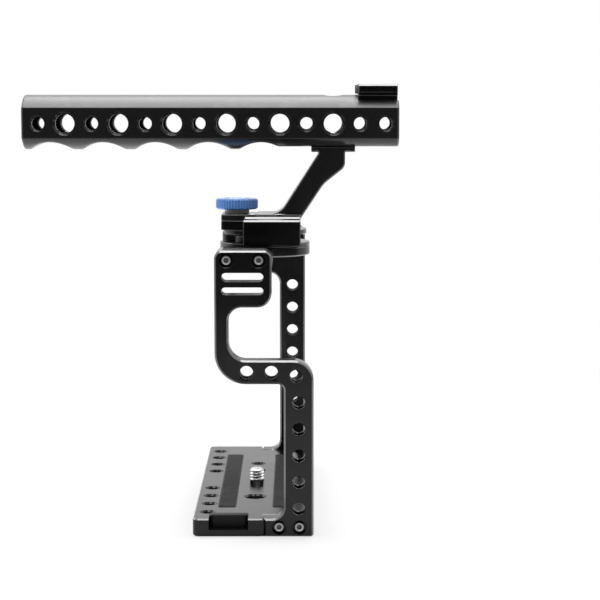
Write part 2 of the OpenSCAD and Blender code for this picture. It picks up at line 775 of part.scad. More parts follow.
// Crossbar: thin bar with an end block under each head and a round table for the swivel
module top_crossbar() {
    color(black) difference() {
        union() {
            for (side = [-1, 1])
                upright_plate(side > 0 ? inner_y - end_block_l : -inner_y, end_block_l)
                    rounded_outline([[head_x0, crossbar_z, 0], [head_x1, crossbar_z, 0],
                        [head_x1, cage_h, head_top_r], [head_x0, cage_h, head_top_r]]);
            translate([head_x0, -inner_y + end_block_l / 2, crossbar_z])
                cube([head_w, 2 * inner_y - end_block_l, crossbar_t]);
            translate([swivel_x, 0, crossbar_z]) cylinder(d = table_d, h = table_t - table_groove);
            translate([swivel_x, 0, table_top - table_groove])
                cylinder(d1 = table_d, d2 = table_d - 2 * table_groove, h = table_groove);
        }
        on_side(-1) at_top_screws() bracket_screw_thread();
        on_side(1) at_top_screws() bracket_screw_thread();
        translate([swivel_x, 0, crossbar_z - over]) {
            cylinder(d = spigot_d + 2 * run_gap, h = table_t + 2 * over);
            cylinder(d = retainer_d + 4 * run_gap, h = retainer_recess_t + over);
        }
        at_plate_screws() translate([0, 0, -plate_screw_l - hole_gap])
            cylinder(d = plate_screw_d + 2 * press_gap, h = plate_screw_l + hole_gap);
        for (side = [-1, 1], i = [0, 1])
            translate([head_x0 + head_w / 2, side * (bar_hole_y + i * rear_row_pitch), crossbar_z])
                bevelled_hole(tapped_d, crossbar_t, crossbar_bevel);
    }
}

// Flat bearing plate that is screwed on the table
module swivel_plate() {
    color(dark) difference() {
        translate([swivel_x, 0, table_top]) {
            cylinder(d1 = table_d - 2 * table_groove, d2 = table_d, h = table_groove);
            translate([0, 0, table_groove]) cylinder(d = table_d, h = swivel_plate_t - 2 * table_groove);
            translate([0, 0, swivel_plate_t - table_groove])
                cylinder(d1 = table_d, d2 = table_d - 2 * table_groove, h = table_groove);
        }
        translate([swivel_x, 0, table_top - over])
            cylinder(d = spigot_d + 2 * run_gap, h = swivel_plate_t + 2 * over);
        at_plate_screws() countersunk_hole(plate_screw_d, plate_screw_head_d, swivel_plate_t);
    }
}

module swivel_plate_screws() {
    color(steel) at_plate_screws()
        countersunk_screw(plate_screw_d, plate_screw_head_d, plate_screw_l, hex_share);
}

// Collar that turns with the handle: spigot, neck, flange and the lock stud's boss
module swivel_collar() {
    color(black) difference() {
        union() {
            translate([swivel_x, 0, retainer_z + retainer_t])
                cylinder(d = spigot_d, h = collar_top - retainer_z - retainer_t);
            translate([swivel_x, 0, collar_z]) cylinder(d = collar_neck_d, h = neck_h + collar_bevel);
            translate([stud_x, 0, collar_z]) cylinder(d = brake_boss_d, h = neck_h + collar_bevel);
            translate([swivel_x, 0, collar_flange_z])
                cylinder(d1 = collar_d - 2 * collar_bevel, d2 = collar_d, h = collar_bevel);
            translate([swivel_x, 0, collar_flange_z + collar_bevel])
                cylinder(d = collar_d, h = collar_t - collar_bevel);
        }
        translate([swivel_x, 0, retainer_z])
            cylinder(d = swivel_bolt_d + 2 * press_gap, h = swivel_bolt_l + hole_gap);
        translate([stud_x, 0, collar_z - over]) cylinder(d = stud_d + 2 * run_gap, h = collar_top);
        at_foot_screws() translate([0, 0, -foot_screw_l - hole_gap])
            cylinder(d = foot_screw_d + 2 * press_gap, h = foot_screw_l);
    }
}

// Retaining washer under the table
module swivel_retainer() {
    color(steel) translate([swivel_x, 0, retainer_z]) difference() {
        cylinder(d = retainer_d, h = retainer_t);
        mirror([0, 0, 1]) countersunk_hole(swivel_bolt_d, swivel_bolt_head_d, retainer_t);
    }
}

// Countersunk bolt that clamps the retaining washer to the spigot
module swivel_bolt() {
    color(steel) translate([swivel_x, 0, retainer_z]) mirror([0, 0, 1])
        countersunk_screw(swivel_bolt_d, swivel_bolt_head_d, swivel_bolt_l, hex_share);
}

// Plate under the handle's foot, with the side shoe's block on the grip side
module side_shoe() {
    color(black) difference() {
        union() {
            translate([0, 0, collar_top]) linear_extrude(shoe_plate_t) foot_plan();
            translate([side_shoe_x, -handle_w / 2, collar_top])
                cube([side_shoe_l, plate_corner_r, shoe_plate_t]);
            difference() {
                translate([0, -handle_w / 2 - side_shoe_w / 2, side_shoe_top])
                    lengthwise_bar(side_shoe_x, side_shoe_l)
                        shoe_outline(side_shoe_w, side_shoe_h, shoe_edge);
                translate([swivel_x, 0, side_shoe_z - over])
                    cylinder(d = collar_d + 2 * collar_relief, h = collar_top - side_shoe_z + over);
            }
        }
        translate([stud_x, 0, collar_top - over])
            cylinder(d = stud_d + 2 * hole_gap, h = shoe_plate_t + 2 * over);
        at_foot_screws() translate([0, 0, -foot_screw_l])
            cylinder(d = foot_screw_d + hole_gap, h = foot_screw_l);
    }
}

module foot_screws() {
    color(steel) at_foot_screws() countersunk_screw(foot_screw_d, foot_screw_head_d, foot_screw_l, hex_share);
}

// Slanted arm with its foot and its flange under the handle
module handle_arm() {
    foot_line_x = plate_front_x - arm_t + arm_foot_t / arm_slope;
    bend_z = arm_flange_z - arm_bend_drop;
    bend_x = plate_front_x + (bend_z - plate_top) / arm_slope;
    color(dark) difference() {
        union() {
            translate([0, 0, plate_top]) linear_extrude(arm_foot_t) foot_plan();
            upright_plate(-arm_w / 2, arm_w)
                rounded_outline([
                    [foot_back_x, plate_top, 0], [plate_front_x, plate_top, 0], [bend_x, bend_z, arm_bend_r],
                    [arm_top_x1, arm_flange_z - arm_heel_drop, arm_heel_r],
                    [arm_top_x1, arm_flange_z, 0], [arm_flange_x0 + arm_flange_l, arm_flange_z, 0],
                    [arm_flange_x0 + arm_flange_l, seat_z, 0], [arm_flange_x0, seat_z, 0],
                    [arm_flange_x0, arm_flange_z, 0], [arm_top_x0, arm_flange_z, 0],
                    [foot_line_x, foot_top, arm_fillet_r], [foot_back_x, foot_top, 0]
                ]);
        }
        translate([stud_x, 0, plate_top - over])
            cylinder(d = stud_d + 2 * hole_gap, h = arm_foot_t + 2 * over);
        at_foot_screws() countersunk_hole(foot_screw_d, foot_screw_head_d, arm_foot_t);
        translate([arm_x, 0, seat_z - arm_screw_bite - hole_gap])
            cylinder(d = arm_screw_d + 2 * press_gap, h = arm_screw_bite + hole_gap + over);
        arm_dowels(2 * press_gap, over);
    }
}

// Two dowels through the flange, thicker and longer where they are cut as holes
module arm_dowels(extra, reach_out) {
    for (side = [-1, 1])
        translate([arm_x + side * dowel_dx, 0, arm_flange_z - reach_out])
            cylinder(d = dowel_d + extra, h = dowel_l + 2 * reach_out);
}

module arm_dowel_pins() {
    color(steel) arm_dowels(0, 0);
}

// Cap screw that holds the handle on the arm, sunk below the large hole
module arm_screw() {
    color(steel) translate([arm_x, 0, arm_screw_seat + arm_screw_head_t])
        cap_screw(arm_screw_d, arm_screw_head_d, arm_screw_head_t, arm_screw_seat - seat_z + arm_screw_bite);
}

// Section of the handle in Y and Z: flat sides between an arched top and an arched belly
module handle_section() {
    crest_r = (pow(handle_w / 2, 2) + pow(handle_crest_h, 2)) / (2 * handle_crest_h);
    belly_r = (pow(handle_w / 2, 2) + pow(belly_h, 2)) / (2 * belly_h);
    intersection() {
        translate([-handle_w / 2, handle_z]) square([handle_w, handle_h]);
        translate([0, handle_top - crest_r]) circle(r = crest_r);
        translate([0, handle_z + belly_r]) circle(r = belly_r);
    }
}

// Hole through the handle from side to side, bevelled at both mouths
module handle_hole(x, d, bevel) {
    translate([x, -handle_w / 2, hole_z]) rotate([-90, 0, 0]) bevelled_hole(d, handle_w, bevel);
}

// Handle bar with finger scallops, two sizes of holes, and flats for the arm and the front shoe
module handle_bar() {
    color(black) difference() {
        lengthwise_bar(handle_x0, handle_l) handle_section();
        for (i = [0 : scallop_n - 1])
            translate([first_scallop_x + i * scallop_pitch, handle_w, handle_z + scallop_depth - scallop_r])
                rotate([90, 0, 0]) cylinder(r = scallop_r, h = 2 * handle_w);
        translate([seat_x0, -handle_w, handle_z - over]) cube([handle_l, 2 * handle_w, seat_rise + over]);
        translate([top_flat_x0, -handle_w, top_flat_z]) cube([handle_l, 2 * handle_w, handle_h]);
        for (i = [0 : pair_n - 1])
            handle_hole(first_small_x + 2 * i * handle_hole_pitch, small_hole_d, small_hole_bevel);
        for (i = [0 : large_n - 1])
            handle_hole(first_small_x + (2 * i + 1) * handle_hole_pitch, large_hole_d, hole_bevel);
        handle_hole(last_small_x, small_hole_d, small_hole_bevel);
        translate([arm_x, 0, arm_screw_seat]) cylinder(d = arm_access_d, h = handle_h);
        translate([arm_x, 0, seat_z - over]) cylinder(d = arm_screw_d + hole_gap, h = handle_h / 2);
        arm_dowels(2 * press_gap, hole_gap);
        at_top_shoe_screws() translate([0, 0, -shoe_screw_l - hole_gap])
            cylinder(d = shoe_screw_d + 2 * press_gap, h = shoe_screw_l + hole_gap);
    }
}

// Front shoe on its narrower foot, with a fine groove along both sides at the slot's floor
module top_shoe() {
    color(black) difference() {
        translate([0, 0, top_shoe_top]) lengthwise_bar(top_shoe_x0, top_shoe_l)
            shoe_outline(top_shoe_w, top_shoe_top - top_flat_z, top_shoe_edge);
        for (side = [-1, 1])
            translate([top_shoe_x0 - over, side * top_shoe_w / 2 - shoe_groove, top_flat_z + top_shoe_floor])
                cube([top_shoe_l + 2 * over, 2 * shoe_groove, shoe_groove]);
        for (side = [-1, 1])
            translate([top_shoe_x0 - over, side * (top_shoe_foot_w + top_shoe_w) / 2 - top_shoe_w / 2,
                top_flat_z - over]) cube([top_shoe_l + 2 * over, top_shoe_w, top_shoe_undercut + over]);
        at_top_shoe_screws() countersunk_hole(shoe_screw_d, shoe_screw_head_d, leaf_t + top_shoe_floor);
    }
}

// Leaf spring on the front shoe's floor, with an upright tab that stops the accessory
module top_shoe_spring() {
    tab_x = top_shoe_x0 - leaf_gap - leaf_t;
    color(dark) translate([0, 0, top_flat_z + top_shoe_floor]) difference() {
        union() {
            translate([tab_x, -leaf_w / 2, 0]) cube([top_shoe_l + leaf_gap, leaf_w, leaf_t]);
            translate([tab_x, -leaf_tab_w / 2, 0]) cube([leaf_t, leaf_tab_w, leaf_tab_h]);
        }
        translate([0, 0, -top_flat_z - top_shoe_floor]) at_top_shoe_screws()
            countersunk_hole(shoe_screw_d, shoe_screw_head_d, leaf_t);
    }
}

module top_shoe_screws() {
    color(steel) at_top_shoe_screws()
        countersunk_screw(shoe_screw_d, shoe_screw_head_d, shoe_screw_l, hex_share);
}

// Washer between the knob and the handle's foot
module knob_washer() {
    color(beige) translate([stud_x, 0, foot_top]) difference() {
        cylinder(d = knob_washer_d, h = knob_washer_t);
        translate([0, 0, -over]) cylinder(d = stud_d + 2 * hole_gap, h = knob_washer_t + 2 * over);
    }
}

// Knob: a bevelled core inside a straight-knurled band
module lock_knob() {
    rim = knob_d / 2;
    core_r = rim - 2 * knob_tooth_h;
    color(blue) translate([stud_x, 0, knob_z]) difference() {
        union() {
            rotate_extrude() polygon([[0, 0], [core_r - knob_bevel, 0], [core_r, knob_bevel],
                [core_r, knob_t - knob_bevel], [core_r - knob_bevel, knob_t], [0, knob_t]]);
            translate([0, 0, knob_bevel]) linear_extrude(knob_t - 2 * knob_bevel)
                polygon([for (i = [0 : 2 * knob_teeth - 1])
                    (rim - (i % 2) * knob_tooth_h) * [cos(180 * i / knob_teeth), sin(180 * i / knob_teeth)]]);
        }
        translate([0, 0, -over]) cylinder(d = stud_d + 2 * press_gap, h = stud_in_knob + over);
    }
}

// Threaded stud of the knob, down to the swivel plate that it locks against
module knob_stud() {
    color(steel) translate([stud_x, 0, collar_z])
        cylinder(d = stud_d, h = knob_z + stud_in_knob - collar_z - press_gap);
}

base_plate();
base_grip_strips();
end_bumper();
end_bumper_screw();
mounting_screw();
mounting_screw_washer();
grip_side_bracket();
far_side_bracket();
grip_bracket_top_screws();
grip_bracket_base_screws();
far_bracket_top_screws();
far_bracket_base_screws();
top_crossbar();
swivel_plate();
swivel_plate_screws();
swivel_collar();
swivel_retainer();
swivel_bolt();
side_shoe();
foot_screws();
handle_arm();
arm_screw();
arm_dowel_pins();
handle_bar();
top_shoe();
top_shoe_spring();
top_shoe_screws();
knob_washer();
lock_knob();
knob_stud();
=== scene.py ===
"""Looks of a handheld cage with a swivelling top handle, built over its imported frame.

Sizes are in millimetres until a mesh is made. +X is the front, +Y leads away from the grip side and +Z is
up. The origin is the centre of the base plate's underside.
"""
import logging
import math
from collections.abc import Callable, Sequence
from dataclasses import dataclass, field
from enum import Enum

import bmesh
import bpy
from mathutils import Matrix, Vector


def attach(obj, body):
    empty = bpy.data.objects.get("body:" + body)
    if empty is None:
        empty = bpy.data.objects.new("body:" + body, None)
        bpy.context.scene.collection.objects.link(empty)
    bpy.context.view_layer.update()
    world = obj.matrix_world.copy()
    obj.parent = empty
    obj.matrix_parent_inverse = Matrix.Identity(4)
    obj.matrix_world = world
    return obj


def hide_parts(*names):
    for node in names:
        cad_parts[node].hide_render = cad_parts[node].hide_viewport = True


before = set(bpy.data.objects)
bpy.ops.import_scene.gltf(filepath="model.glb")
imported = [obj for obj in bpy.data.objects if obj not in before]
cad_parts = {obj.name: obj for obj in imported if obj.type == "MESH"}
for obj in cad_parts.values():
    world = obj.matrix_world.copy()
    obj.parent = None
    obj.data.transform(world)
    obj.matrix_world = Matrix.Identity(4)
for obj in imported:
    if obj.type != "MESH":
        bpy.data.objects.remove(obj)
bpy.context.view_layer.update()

LOG = logging.getLogger("cage")
MM = 0.001
QUARTER = math.pi / 2
EASE_STEPS = 3
ON_AXIS = 1e-4
SAME_POINT = 1e-5
OVERCUT = 1.0
FLAT_WEIGHT = 100
WHITE = (1.0, 1.0, 1.0, 1.0)

Point = tuple[float, float]
Corner = tuple[float, float, float]
Spot = tuple[float, float, float]
Colour = tuple[float, float, float]


# Shapes

class Plane(Enum):
    """How an outline lies: its two axes, then the axis that it is thickened or turned along."""
    XY = (0, 1, 2)
    XZ = (0, 2, 1)
    YZ = (1, 2, 0)

    def place(self, u: float, v: float, w: float) -> Vector:
        """Puts a point of the outline into the scene.

        Args:
            u: Its first coordinate.
            v: Its second coordinate.
            w: Where it lies along the third axis.

        Returns:
            The point in metres.
        """
        spot = [0.0, 0.0, 0.0]
        for axis, value in zip(self.value, (u, v, w)):
            spot[axis] = value * MM
        return Vector(spot)


class Outline:
    """A closed outline with rounded corners and a true inset. One that is inset is listed anticlockwise."""

    def __init__(self, corners: Sequence[Corner], steps: int = 8) -> None:
        """Stores the corners.

        Args:
            corners: Each corner's two coordinates and its radius, 0 for a sharp one or, below 0, the size of
                a chamfer.
            steps: Segments in each rounded corner.
        """
        self.corners: list[Corner] = []
        self.chamfers: set[int] = set()
        for i, (u, v, radius) in enumerate(corners):
            if radius < 0:
                here = Vector((u, v))
                back = (here - Vector(corners[i - 1][:2])).normalized()
                ahead = (Vector(corners[(i + 1) % len(corners)][:2]) - here).normalized()
                self.chamfers.add(len(self.corners))
                self.corners.append((*(here + radius * back), 0.0))
                self.corners.append((*(here - radius * ahead), 0.0))
            else:
                self.corners.append((u, v, radius))
        self.steps = steps
        raw = self._points(0.0)
        count = len(raw)
        self.kept = [k for k in range(count) if math.dist(raw[k][0], raw[(k + 1) % count][0]) > SAME_POINT]
        self.bends = [raw[k][1] for k in self.kept]
        self.cut = {n for n, k in enumerate(self.kept) if raw[k][1] and raw[k][2]}

    @classmethod
    def circle(cls, u: float, v: float, radius: float, steps: int = 12) -> "Outline":
        """A circle round (u, v), with four times as many segments as steps."""
        corners = ((-1, -1), (1, -1), (1, 1), (-1, 1))
        return cls([(u + radius * a, v + radius * b, radius) for a, b in corners], steps)

    @classmethod
    def slot(cls, u: float, v: float, length: float, width: float, upright: bool = False) -> "Outline":
        """A slot with round ends, along the first axis or, upright, along the second."""
        a, b = (width / 2, length / 2) if upright else (length / 2, width / 2)
        return cls([(u - a, v - b, width / 2), (u + a, v - b, width / 2),
                    (u + a, v + b, width / 2), (u - a, v + b, width / 2)])

    @classmethod
    def hexagon(cls, u: float, v: float, across: float) -> "Outline":
        """A hexagon that is so far across its corners."""
        turns = (k * math.pi / 3 for k in range(6))
        return cls([(u + across / 2 * math.cos(a), v + across / 2 * math.sin(a), 0.0) for a in turns])

    @classmethod
    def box(cls, u0: float, v0: float, u1: float, v1: float, radius: float = 0.0) -> "Outline":
        """A rectangle between two corners, with one radius."""
        return cls([(u0, v0, radius), (u1, v0, radius), (u1, v1, radius), (u0, v1, radius)])

    def _points(self, inset: float) -> list[tuple[Point, bool, bool]]:
        """The outline's points at an inset.

        Args:
            inset: How far inwards, negative for outwards.

        Returns:
            Each point, whether the stretch after it is an edge, and whether that is a chamfer.
        """
        found: list[tuple[Point, bool, bool]] = []
        count = len(self.corners)
        for i, (u, v, radius) in enumerate(self.corners):
            here = Vector((u, v))
            back = (here - Vector(self.corners[i - 1][:2])).normalized()
            ahead = (Vector(self.corners[(i + 1) % count][:2]) - here).normalized()
            in_back, in_ahead = Vector((-back.y, back.x)), Vector((-ahead.y, ahead.x))
            mitre = (in_back + in_ahead) / (1 + in_back.dot(in_ahead))
            if radius <= 0:
                spot = here + mitre * inset
                found.append(((spot.x, spot.y), i in self.chamfers, i in self.chamfers))
                continue
            turn = math.atan2(back.cross(ahead), back.dot(ahead))
            side = 1.0 if turn > 0 else -1.0
            middle = here + mitre * side * radius
            reach = max(radius - side * inset, ON_AXIS)
            for k in range(self.steps + 1):
                angle = turn * k / self.steps
                out = -side * in_back
                spot = middle + reach * Vector((out.x * math.cos(angle) - out.y * math.sin(angle),
                                                out.x * math.sin(angle) + out.y * math.cos(angle)))
                found.append(((spot.x, spot.y), k < self.steps, False))
        return found

    def ring(self, inset: float = 0.0) -> list[Point]:
        """The outline's points at an inset, always as many and in the same order.

        Args:
            inset: How far inwards, negative for outwards.

        Returns:
            The points, without doubles.
        """
        raw = self._points(inset)
        return [raw[k][0] for k in self.kept]


def eased(size: float, steps: int = EASE_STEPS) -> list[Point]:
    """Inset and rise of a rounded edge, from a face to the wall beside it.

    Args:
        size: Radius of the edge.
        steps: Segments of the quarter round, 1 for a chamfer.

    Returns:
        Pairs of inset and rise, the face's end first.
    """
    if steps == 1:
        return [(size, 0.0), (0.0, size)]
    return [(size * (1 - math.sin(QUARTER * k / steps)), size * (1 - math.cos(QUARTER * k / steps)))
            for k in range(steps + 1)]


def zigzag(turns: float) -> float:
    """Falls from 1 to 0 and rises again in each turn."""
    return abs(2 * (turns % 1.0) - 1)


@dataclass(frozen=True)
class Hole:
    """A hole through a slab, or a pocket into one of its faces.

    Its lip is the size of the eased mouth, chamfered or rounded. A depth of 0 goes right through, and a
    pitch cuts thread grooves into the wall. The wall takes one of the piece's finishes, the lip another, by
    default the lighter edge finish, which is a painted highlight.
    """
    outline: Outline
    depth: float = 0.0
    lip: float = 0.3
    chamfered: bool = False
    from_high: bool = True
    pitch: float = 0.0
    groove: float = 0.35
    wall_slot: int = 0
    lip_slot: int = 1

    @property
    def lip_steps(self) -> int:
        """Segments of the lip."""
        return 1 if self.chamfered else EASE_STEPS

    def rows(self, low: float, high: float) -> list[Point]:
        """Rings of the hole's wall.

        Args:
            low: Where the slab starts.
            high: Where the slab ends.

        Returns:
            Inset and height of each ring, from the mouth of a pocket inwards or else from low to high.
        """
        mouth = eased(self.lip, self.lip_steps) if self.lip else [(0.0, 0.0)]
        if self.depth:
            sign, start = (-1.0, high) if self.from_high else (1.0, low)
            return [(-i, start + sign * r) for i, r in mouth] + [(0.0, start + sign * self.depth)]
        first = [(-i, low + r) for i, r in mouth]
        last = [(-i, high - r) for i, r in reversed(mouth)]
        grooves: list[Point] = []
        if self.pitch:
            turns = int((high - low - 2 * self.lip) / self.pitch)
            start = (low + high - turns * self.pitch) / 2
            grooves = [(0.0 if k % 2 == 0 else -self.groove, start + k * self.pitch / 2)
                       for k in range(2 * turns + 1)]
            grooves = [g for g in grooves if low + self.lip < g[1] < high - self.lip]
        return first + grooves + last


class Draft:
    """A mesh in the making, whose faces carry the face finish or, at eased edges, the edge finish with its
    painted highlight.
    """

    def __init__(self) -> None:
        """Starts empty."""
        self.mesh = bmesh.new()

    @staticmethod
    def _stack(outline: Outline, rows: Sequence[Point], plane: Plane) -> list[list[Vector]]:
        """Rings of an outline, one for each inset and height in rows."""
        return [[plane.place(u, v, w) for u, v in outline.ring(inset)] for inset, w in rows]

    def wall(self, rings: Sequence[Sequence[Vector]], eased_rows: set[int],
             eased_columns: set[int] | frozenset[int] = frozenset(),
             slots: tuple[int, int] = (0, 1)) -> list[list[bmesh.types.BMVert]]:
        """Joins rings of points into a wall.

        Args:
            rings: Rings with as many points each.
            eased_rows: Which strips between rings belong to an eased edge.
            eased_columns: Which stretches along the rings do.
            slots: The finish of the wall and that of its eased edges, which carries a painted highlight.

        Returns:
            The vertices of each ring.
        """
        rows = [[self.mesh.verts.new(p) for p in ring] for ring in rings]
        for strip, (low, high) in enumerate(zip(rows, rows[1:])):
            count = len(low)
            for k in range(count):
                after = (k + 1) % count
                face = self.mesh.faces.new((low[k], low[after], high[after], high[k]))
                face.material_index = slots[strip in eased_rows or k in eased_columns]
        return rows

    def cap(self, loops: Sequence[Sequence[bmesh.types.BMVert]]) -> None:
        """Closes a flat face that is bounded by one outer loop and any holes."""
        edges = [self.mesh.edges.get((loop[k], loop[(k + 1) % len(loop)]))
                 for loop in loops for k in range(len(loop))]
        bmesh.ops.triangle_fill(self.mesh, use_beauty=True, use_dissolve=False, edges=edges)

    def slab(self, outline: Outline, low: float, high: float, plane: Plane = Plane.XY, edge: float = 0.5,
             edge_low: float | None = None, holes: Sequence[Hole] = (), steps: int = EASE_STEPS,
             slots: tuple[int, int] = (0, 1)) -> "Draft":
        """Adds a plate with eased edges.

        Args:
            outline: Outline of the plate.
            low: Where it starts along its third axis.
            high: Where it ends.
            plane: How it lies.
            edge: Size of its eased edges, 0 for sharp ones.
            edge_low: Size at its low face, when that differs.
            holes: Holes and pockets.
            steps: Segments of the eased edges, 1 for chamfers.
            slots: The finish of its outer wall and that of its eased edges, which carries a painted
                highlight.

        Returns:
            This draft.
        """
        edge_low = edge if edge_low is None else edge_low
        first = eased(edge_low, steps) if edge_low else [(0.0, 0.0)]
        last = eased(edge, steps) if edge else [(0.0, 0.0)]
        rows = [(i, low + r) for i, r in first] + [(i, high - r) for i, r in reversed(last)]
        bent = set(range(len(first) - 1)) | set(range(len(rows) - len(last), len(rows) - 1))
        outer = self.wall(self._stack(outline, rows, plane), bent, outline.cut, slots)
        lows, highs = [outer[0]], [outer[-1]]
        for hole in holes:
            cut = hole.rows(low, high)
            bent = set(range(hole.lip_steps)) if hole.lip else set()
            if hole.lip and not hole.depth:
                bent |= set(range(len(cut) - 1 - hole.lip_steps, len(cut) - 1))
            rings = self.wall(self._stack(hole.outline, cut, plane), bent,
                              slots=(hole.wall_slot, hole.lip_slot))
            if hole.depth:
                self.mesh.faces.new(rings[-1]).material_index = hole.wall_slot
                (highs if hole.from_high else lows).append(rings[0])
            else:
                lows.append(rings[0])
                highs.append(rings[-1])
        self.cap(lows)
        self.cap(highs)
        return self

    def dull(self, where: Callable[[Vector], bool]) -> "Draft":
        """Gives some eased edges, which catch no light, the finish of the faces.

        Args:
            where: Whether a face with this centre, in millimetres, is one of them.

        Returns:
            This draft.
        """
        for face in self.mesh.faces:
            if where(face.calc_center_median() / MM):
                face.material_index = 0
        return self

    def turned(self, profile: Outline, centre: Point, plane: Plane = Plane.XY, segments: int = 96,
               shape: Callable[[float, float, float], float] | None = None) -> "Draft":
        """Adds a piece turned round the third axis of a plane.

        Args:
            profile: Closed outline of radius and place along the axis.
            centre: Where the axis stands in the plane.
            plane: The plane that the axis is square to.
            segments: Segments of a full turn.
            shape: Gives the radius of a point from its radius, its place along the axis and its angle.

        Returns:
            This draft.
        """
        points = profile.ring()
        hubs = {k: self.mesh.verts.new(plane.place(*centre, w))
                for k, (r, w) in enumerate(points) if r < ON_AXIS}
        fans = []
        for s in range(segments):
            angle = math.tau * s / segments
            fan = []
            for k, (radius, w) in enumerate(points):
                reach = shape(radius, w, angle) if shape else radius
                u, v = centre[0] + reach * math.cos(angle), centre[1] + reach * math.sin(angle)
                fan.append(hubs.get(k) or self.mesh.verts.new(plane.place(u, v, w)))
            fans.append(fan)
        for s, fan in enumerate(fans):
            other = fans[(s + 1) % segments]
            for k in range(len(points)):
                after = (k + 1) % len(points)
                ring = list(dict.fromkeys((fan[k], other[k], other[after], fan[after])))
                if len(ring) > 2:
                    self.mesh.faces.new(ring).material_index = int(profile.bends[k])
        return self

    def solid(self, name: str, finish: "Finish", inside: "Finish | None" = None) -> bpy.types.Object:
        """Makes an object of the draft.

        Args:
            name: Name of the object.
            finish: The finish that gives its first two materials.
            inside: The finish of the third material, the painted shade in sockets and round cap screw heads.

        Returns:
            The object.
        """
        bmesh.ops.recalc_face_normals(self.mesh, faces=self.mesh.faces)
        for face in self.mesh.faces:
            face.smooth = True
        data = bpy.data.meshes.new(name)
        self.mesh.to_mesh(data)
        self.mesh.free()
        for material in finish.materials() + (inside.materials()[:1] if inside else []):
            data.materials.append(material)
        made = bpy.data.objects.new(name, data)
        bpy.context.scene.collection.objects.link(made)
        return made


class Join(Enum):
    """How one solid works on another."""
    ADD = "UNION"
    CUT = "DIFFERENCE"


def combine(base: bpy.types.Object, draft: Draft, how: Join) -> None:
    """Adds a draft's solid to an object or cuts it away. Its faces take the object's own materials.

    Args:
        base: The object that is worked on, which gets a new mesh.
        draft: What is added or cut away. It is used up.
        how: Which of the two.
    """
    other = draft.solid("tool", BLACK)
    for place, material in enumerate(base.data.materials):
        other.data.materials[place] = material
    tool = base.modifiers.new("join", "BOOLEAN")
    tool.operation = how.value
    tool.object = other
    tool.solver = "MANIFOLD"
    shaped = bpy.data.meshes.new_from_object(base.evaluated_get(bpy.context.evaluated_depsgraph_get()))
    if len(shaped.polygons) == 0:
        tool.solver = "EXACT"
        shaped = bpy.data.meshes.new_from_object(base.evaluated_get(bpy.context.evaluated_depsgraph_get()))
    base.modifiers.remove(tool)
    old, spare = base.data, other.data
    base.data = shaped
    bpy.data.objects.remove(other)
    bpy.data.meshes.remove(spare)
    bpy.data.meshes.remove(old)


def polish(piece: bpy.types.Object, sharp: float = 38.0) -> None:
    """Keeps the flats of a piece flat and its eased edges round.

    Args:
        piece: The piece.
        sharp: Angle in degrees above which an edge stays sharp.
    """
    piece.data.set_sharp_from_angle(angle=math.radians(sharp))
    smooth = piece.modifiers.new("flats", "WEIGHTED_NORMAL")
    smooth.keep_sharp = True
    smooth.weight = FLAT_WEIGHT


# Finishes

class Wire:
    """One output of a shader node, with arithmetic that adds Math nodes."""

    def __init__(self, sheet: "Sheet", socket: bpy.types.NodeSocket) -> None:
        """Wraps a socket of a sheet."""
        self.sheet = sheet
        self.socket = socket

    def _math(self, operation: str, first: "Wire | float", second: "Wire | float") -> "Wire":
        """Adds a Math node."""
        return self.sheet.node("ShaderNodeMath", {"operation": operation}, {0: first, 1: second}).out(0)

    def __add__(self, other: "Wire | float") -> "Wire":
        """Sum."""
        return self._math("ADD", self, other)

    __radd__ = __add__

    def __sub__(self, other: "Wire | float") -> "Wire":
        """Difference."""
        return self._math("SUBTRACT", self, other)

    def __rsub__(self, other: float) -> "Wire":
        """A number less this."""
        return self._math("SUBTRACT", other, self)

    def __mul__(self, other: "Wire | float") -> "Wire":
        """Product."""
        return self._math("MULTIPLY", self, other)

    __rmul__ = __mul__


class Placed:
    """A node that has been added to a sheet."""

    def __init__(self, sheet: "Sheet", node: bpy.types.Node) -> None:
        """Wraps a node."""
        self.sheet = sheet
        self.raw = node

    def out(self, key: int | str = 0) -> Wire:
        """One of the node's outputs."""
        return Wire(self.sheet, self.raw.outputs[key])


class Sheet:
    """A node tree that is written as expressions."""

    def __init__(self, tree: bpy.types.NodeTree) -> None:
        """Clears a tree and starts on it."""
        self.tree = tree
        tree.nodes.clear()

    def node(self, kind: str, settings: dict[str, object] | None = None,
             values: dict[int | str, object] | None = None) -> Placed:
        """Adds a node.

        Args:
            kind: Its type.
            settings: Its own settings, set first.
            values: Values or wires of its inputs.

        Returns:
            The node.
        """
        made = self.tree.nodes.new(kind)
        for key, value in (settings or {}).items():
            setattr(made, key, value)
        for key, value in (values or {}).items():
            if isinstance(value, Wire):
                self.tree.links.new(value.socket, made.inputs[key])
            else:
                made.inputs[key].default_value = value
        return Placed(self, made)

    def noise(self, place: Wire, scale: float, detail: float, rough: float = 0.5) -> Wire:
        """Soft noise over a place, from 0 to 1."""
        return self.node("ShaderNodeTexNoise", {}, {"Vector": place, "Scale": scale, "Detail": detail,
                                                    "Roughness": rough}).out("Fac")

    def spread(self, value: Wire, low: float, high: float, to_low: float, to_high: float) -> Wire:
        """Maps a range of a value smoothly onto another."""
        return self.node("ShaderNodeMapRange", {"interpolation_type": "SMOOTHSTEP"},
                         {"Value": value, "From Min": low, "From Max": high, "To Min": to_low,
                          "To Max": to_high}).out(0)

    def mix(self, share: Wire | float, first: object, second: object) -> Wire:
        """Mixes two colours."""
        return self.node("ShaderNodeMix", {"data_type": "RGBA"}, {0: share, 6: first, 7: second}).out(2)

    def bump(self, height: Wire, strength: float, depth: float) -> Wire:
        """Bump of so many millimetres from a height."""
        return self.node("ShaderNodeBump", {}, {"Height": height, "Strength": strength,
                                                "Distance": depth * MM}).out(0)


def rgba(colour: Colour, gain: float = 1.0) -> tuple[float, float, float, float]:
    """A colour as four numbers, made lighter or darker by a gain."""
    return (colour[0] * gain, colour[1] * gain, colour[2] * gain, 1.0)


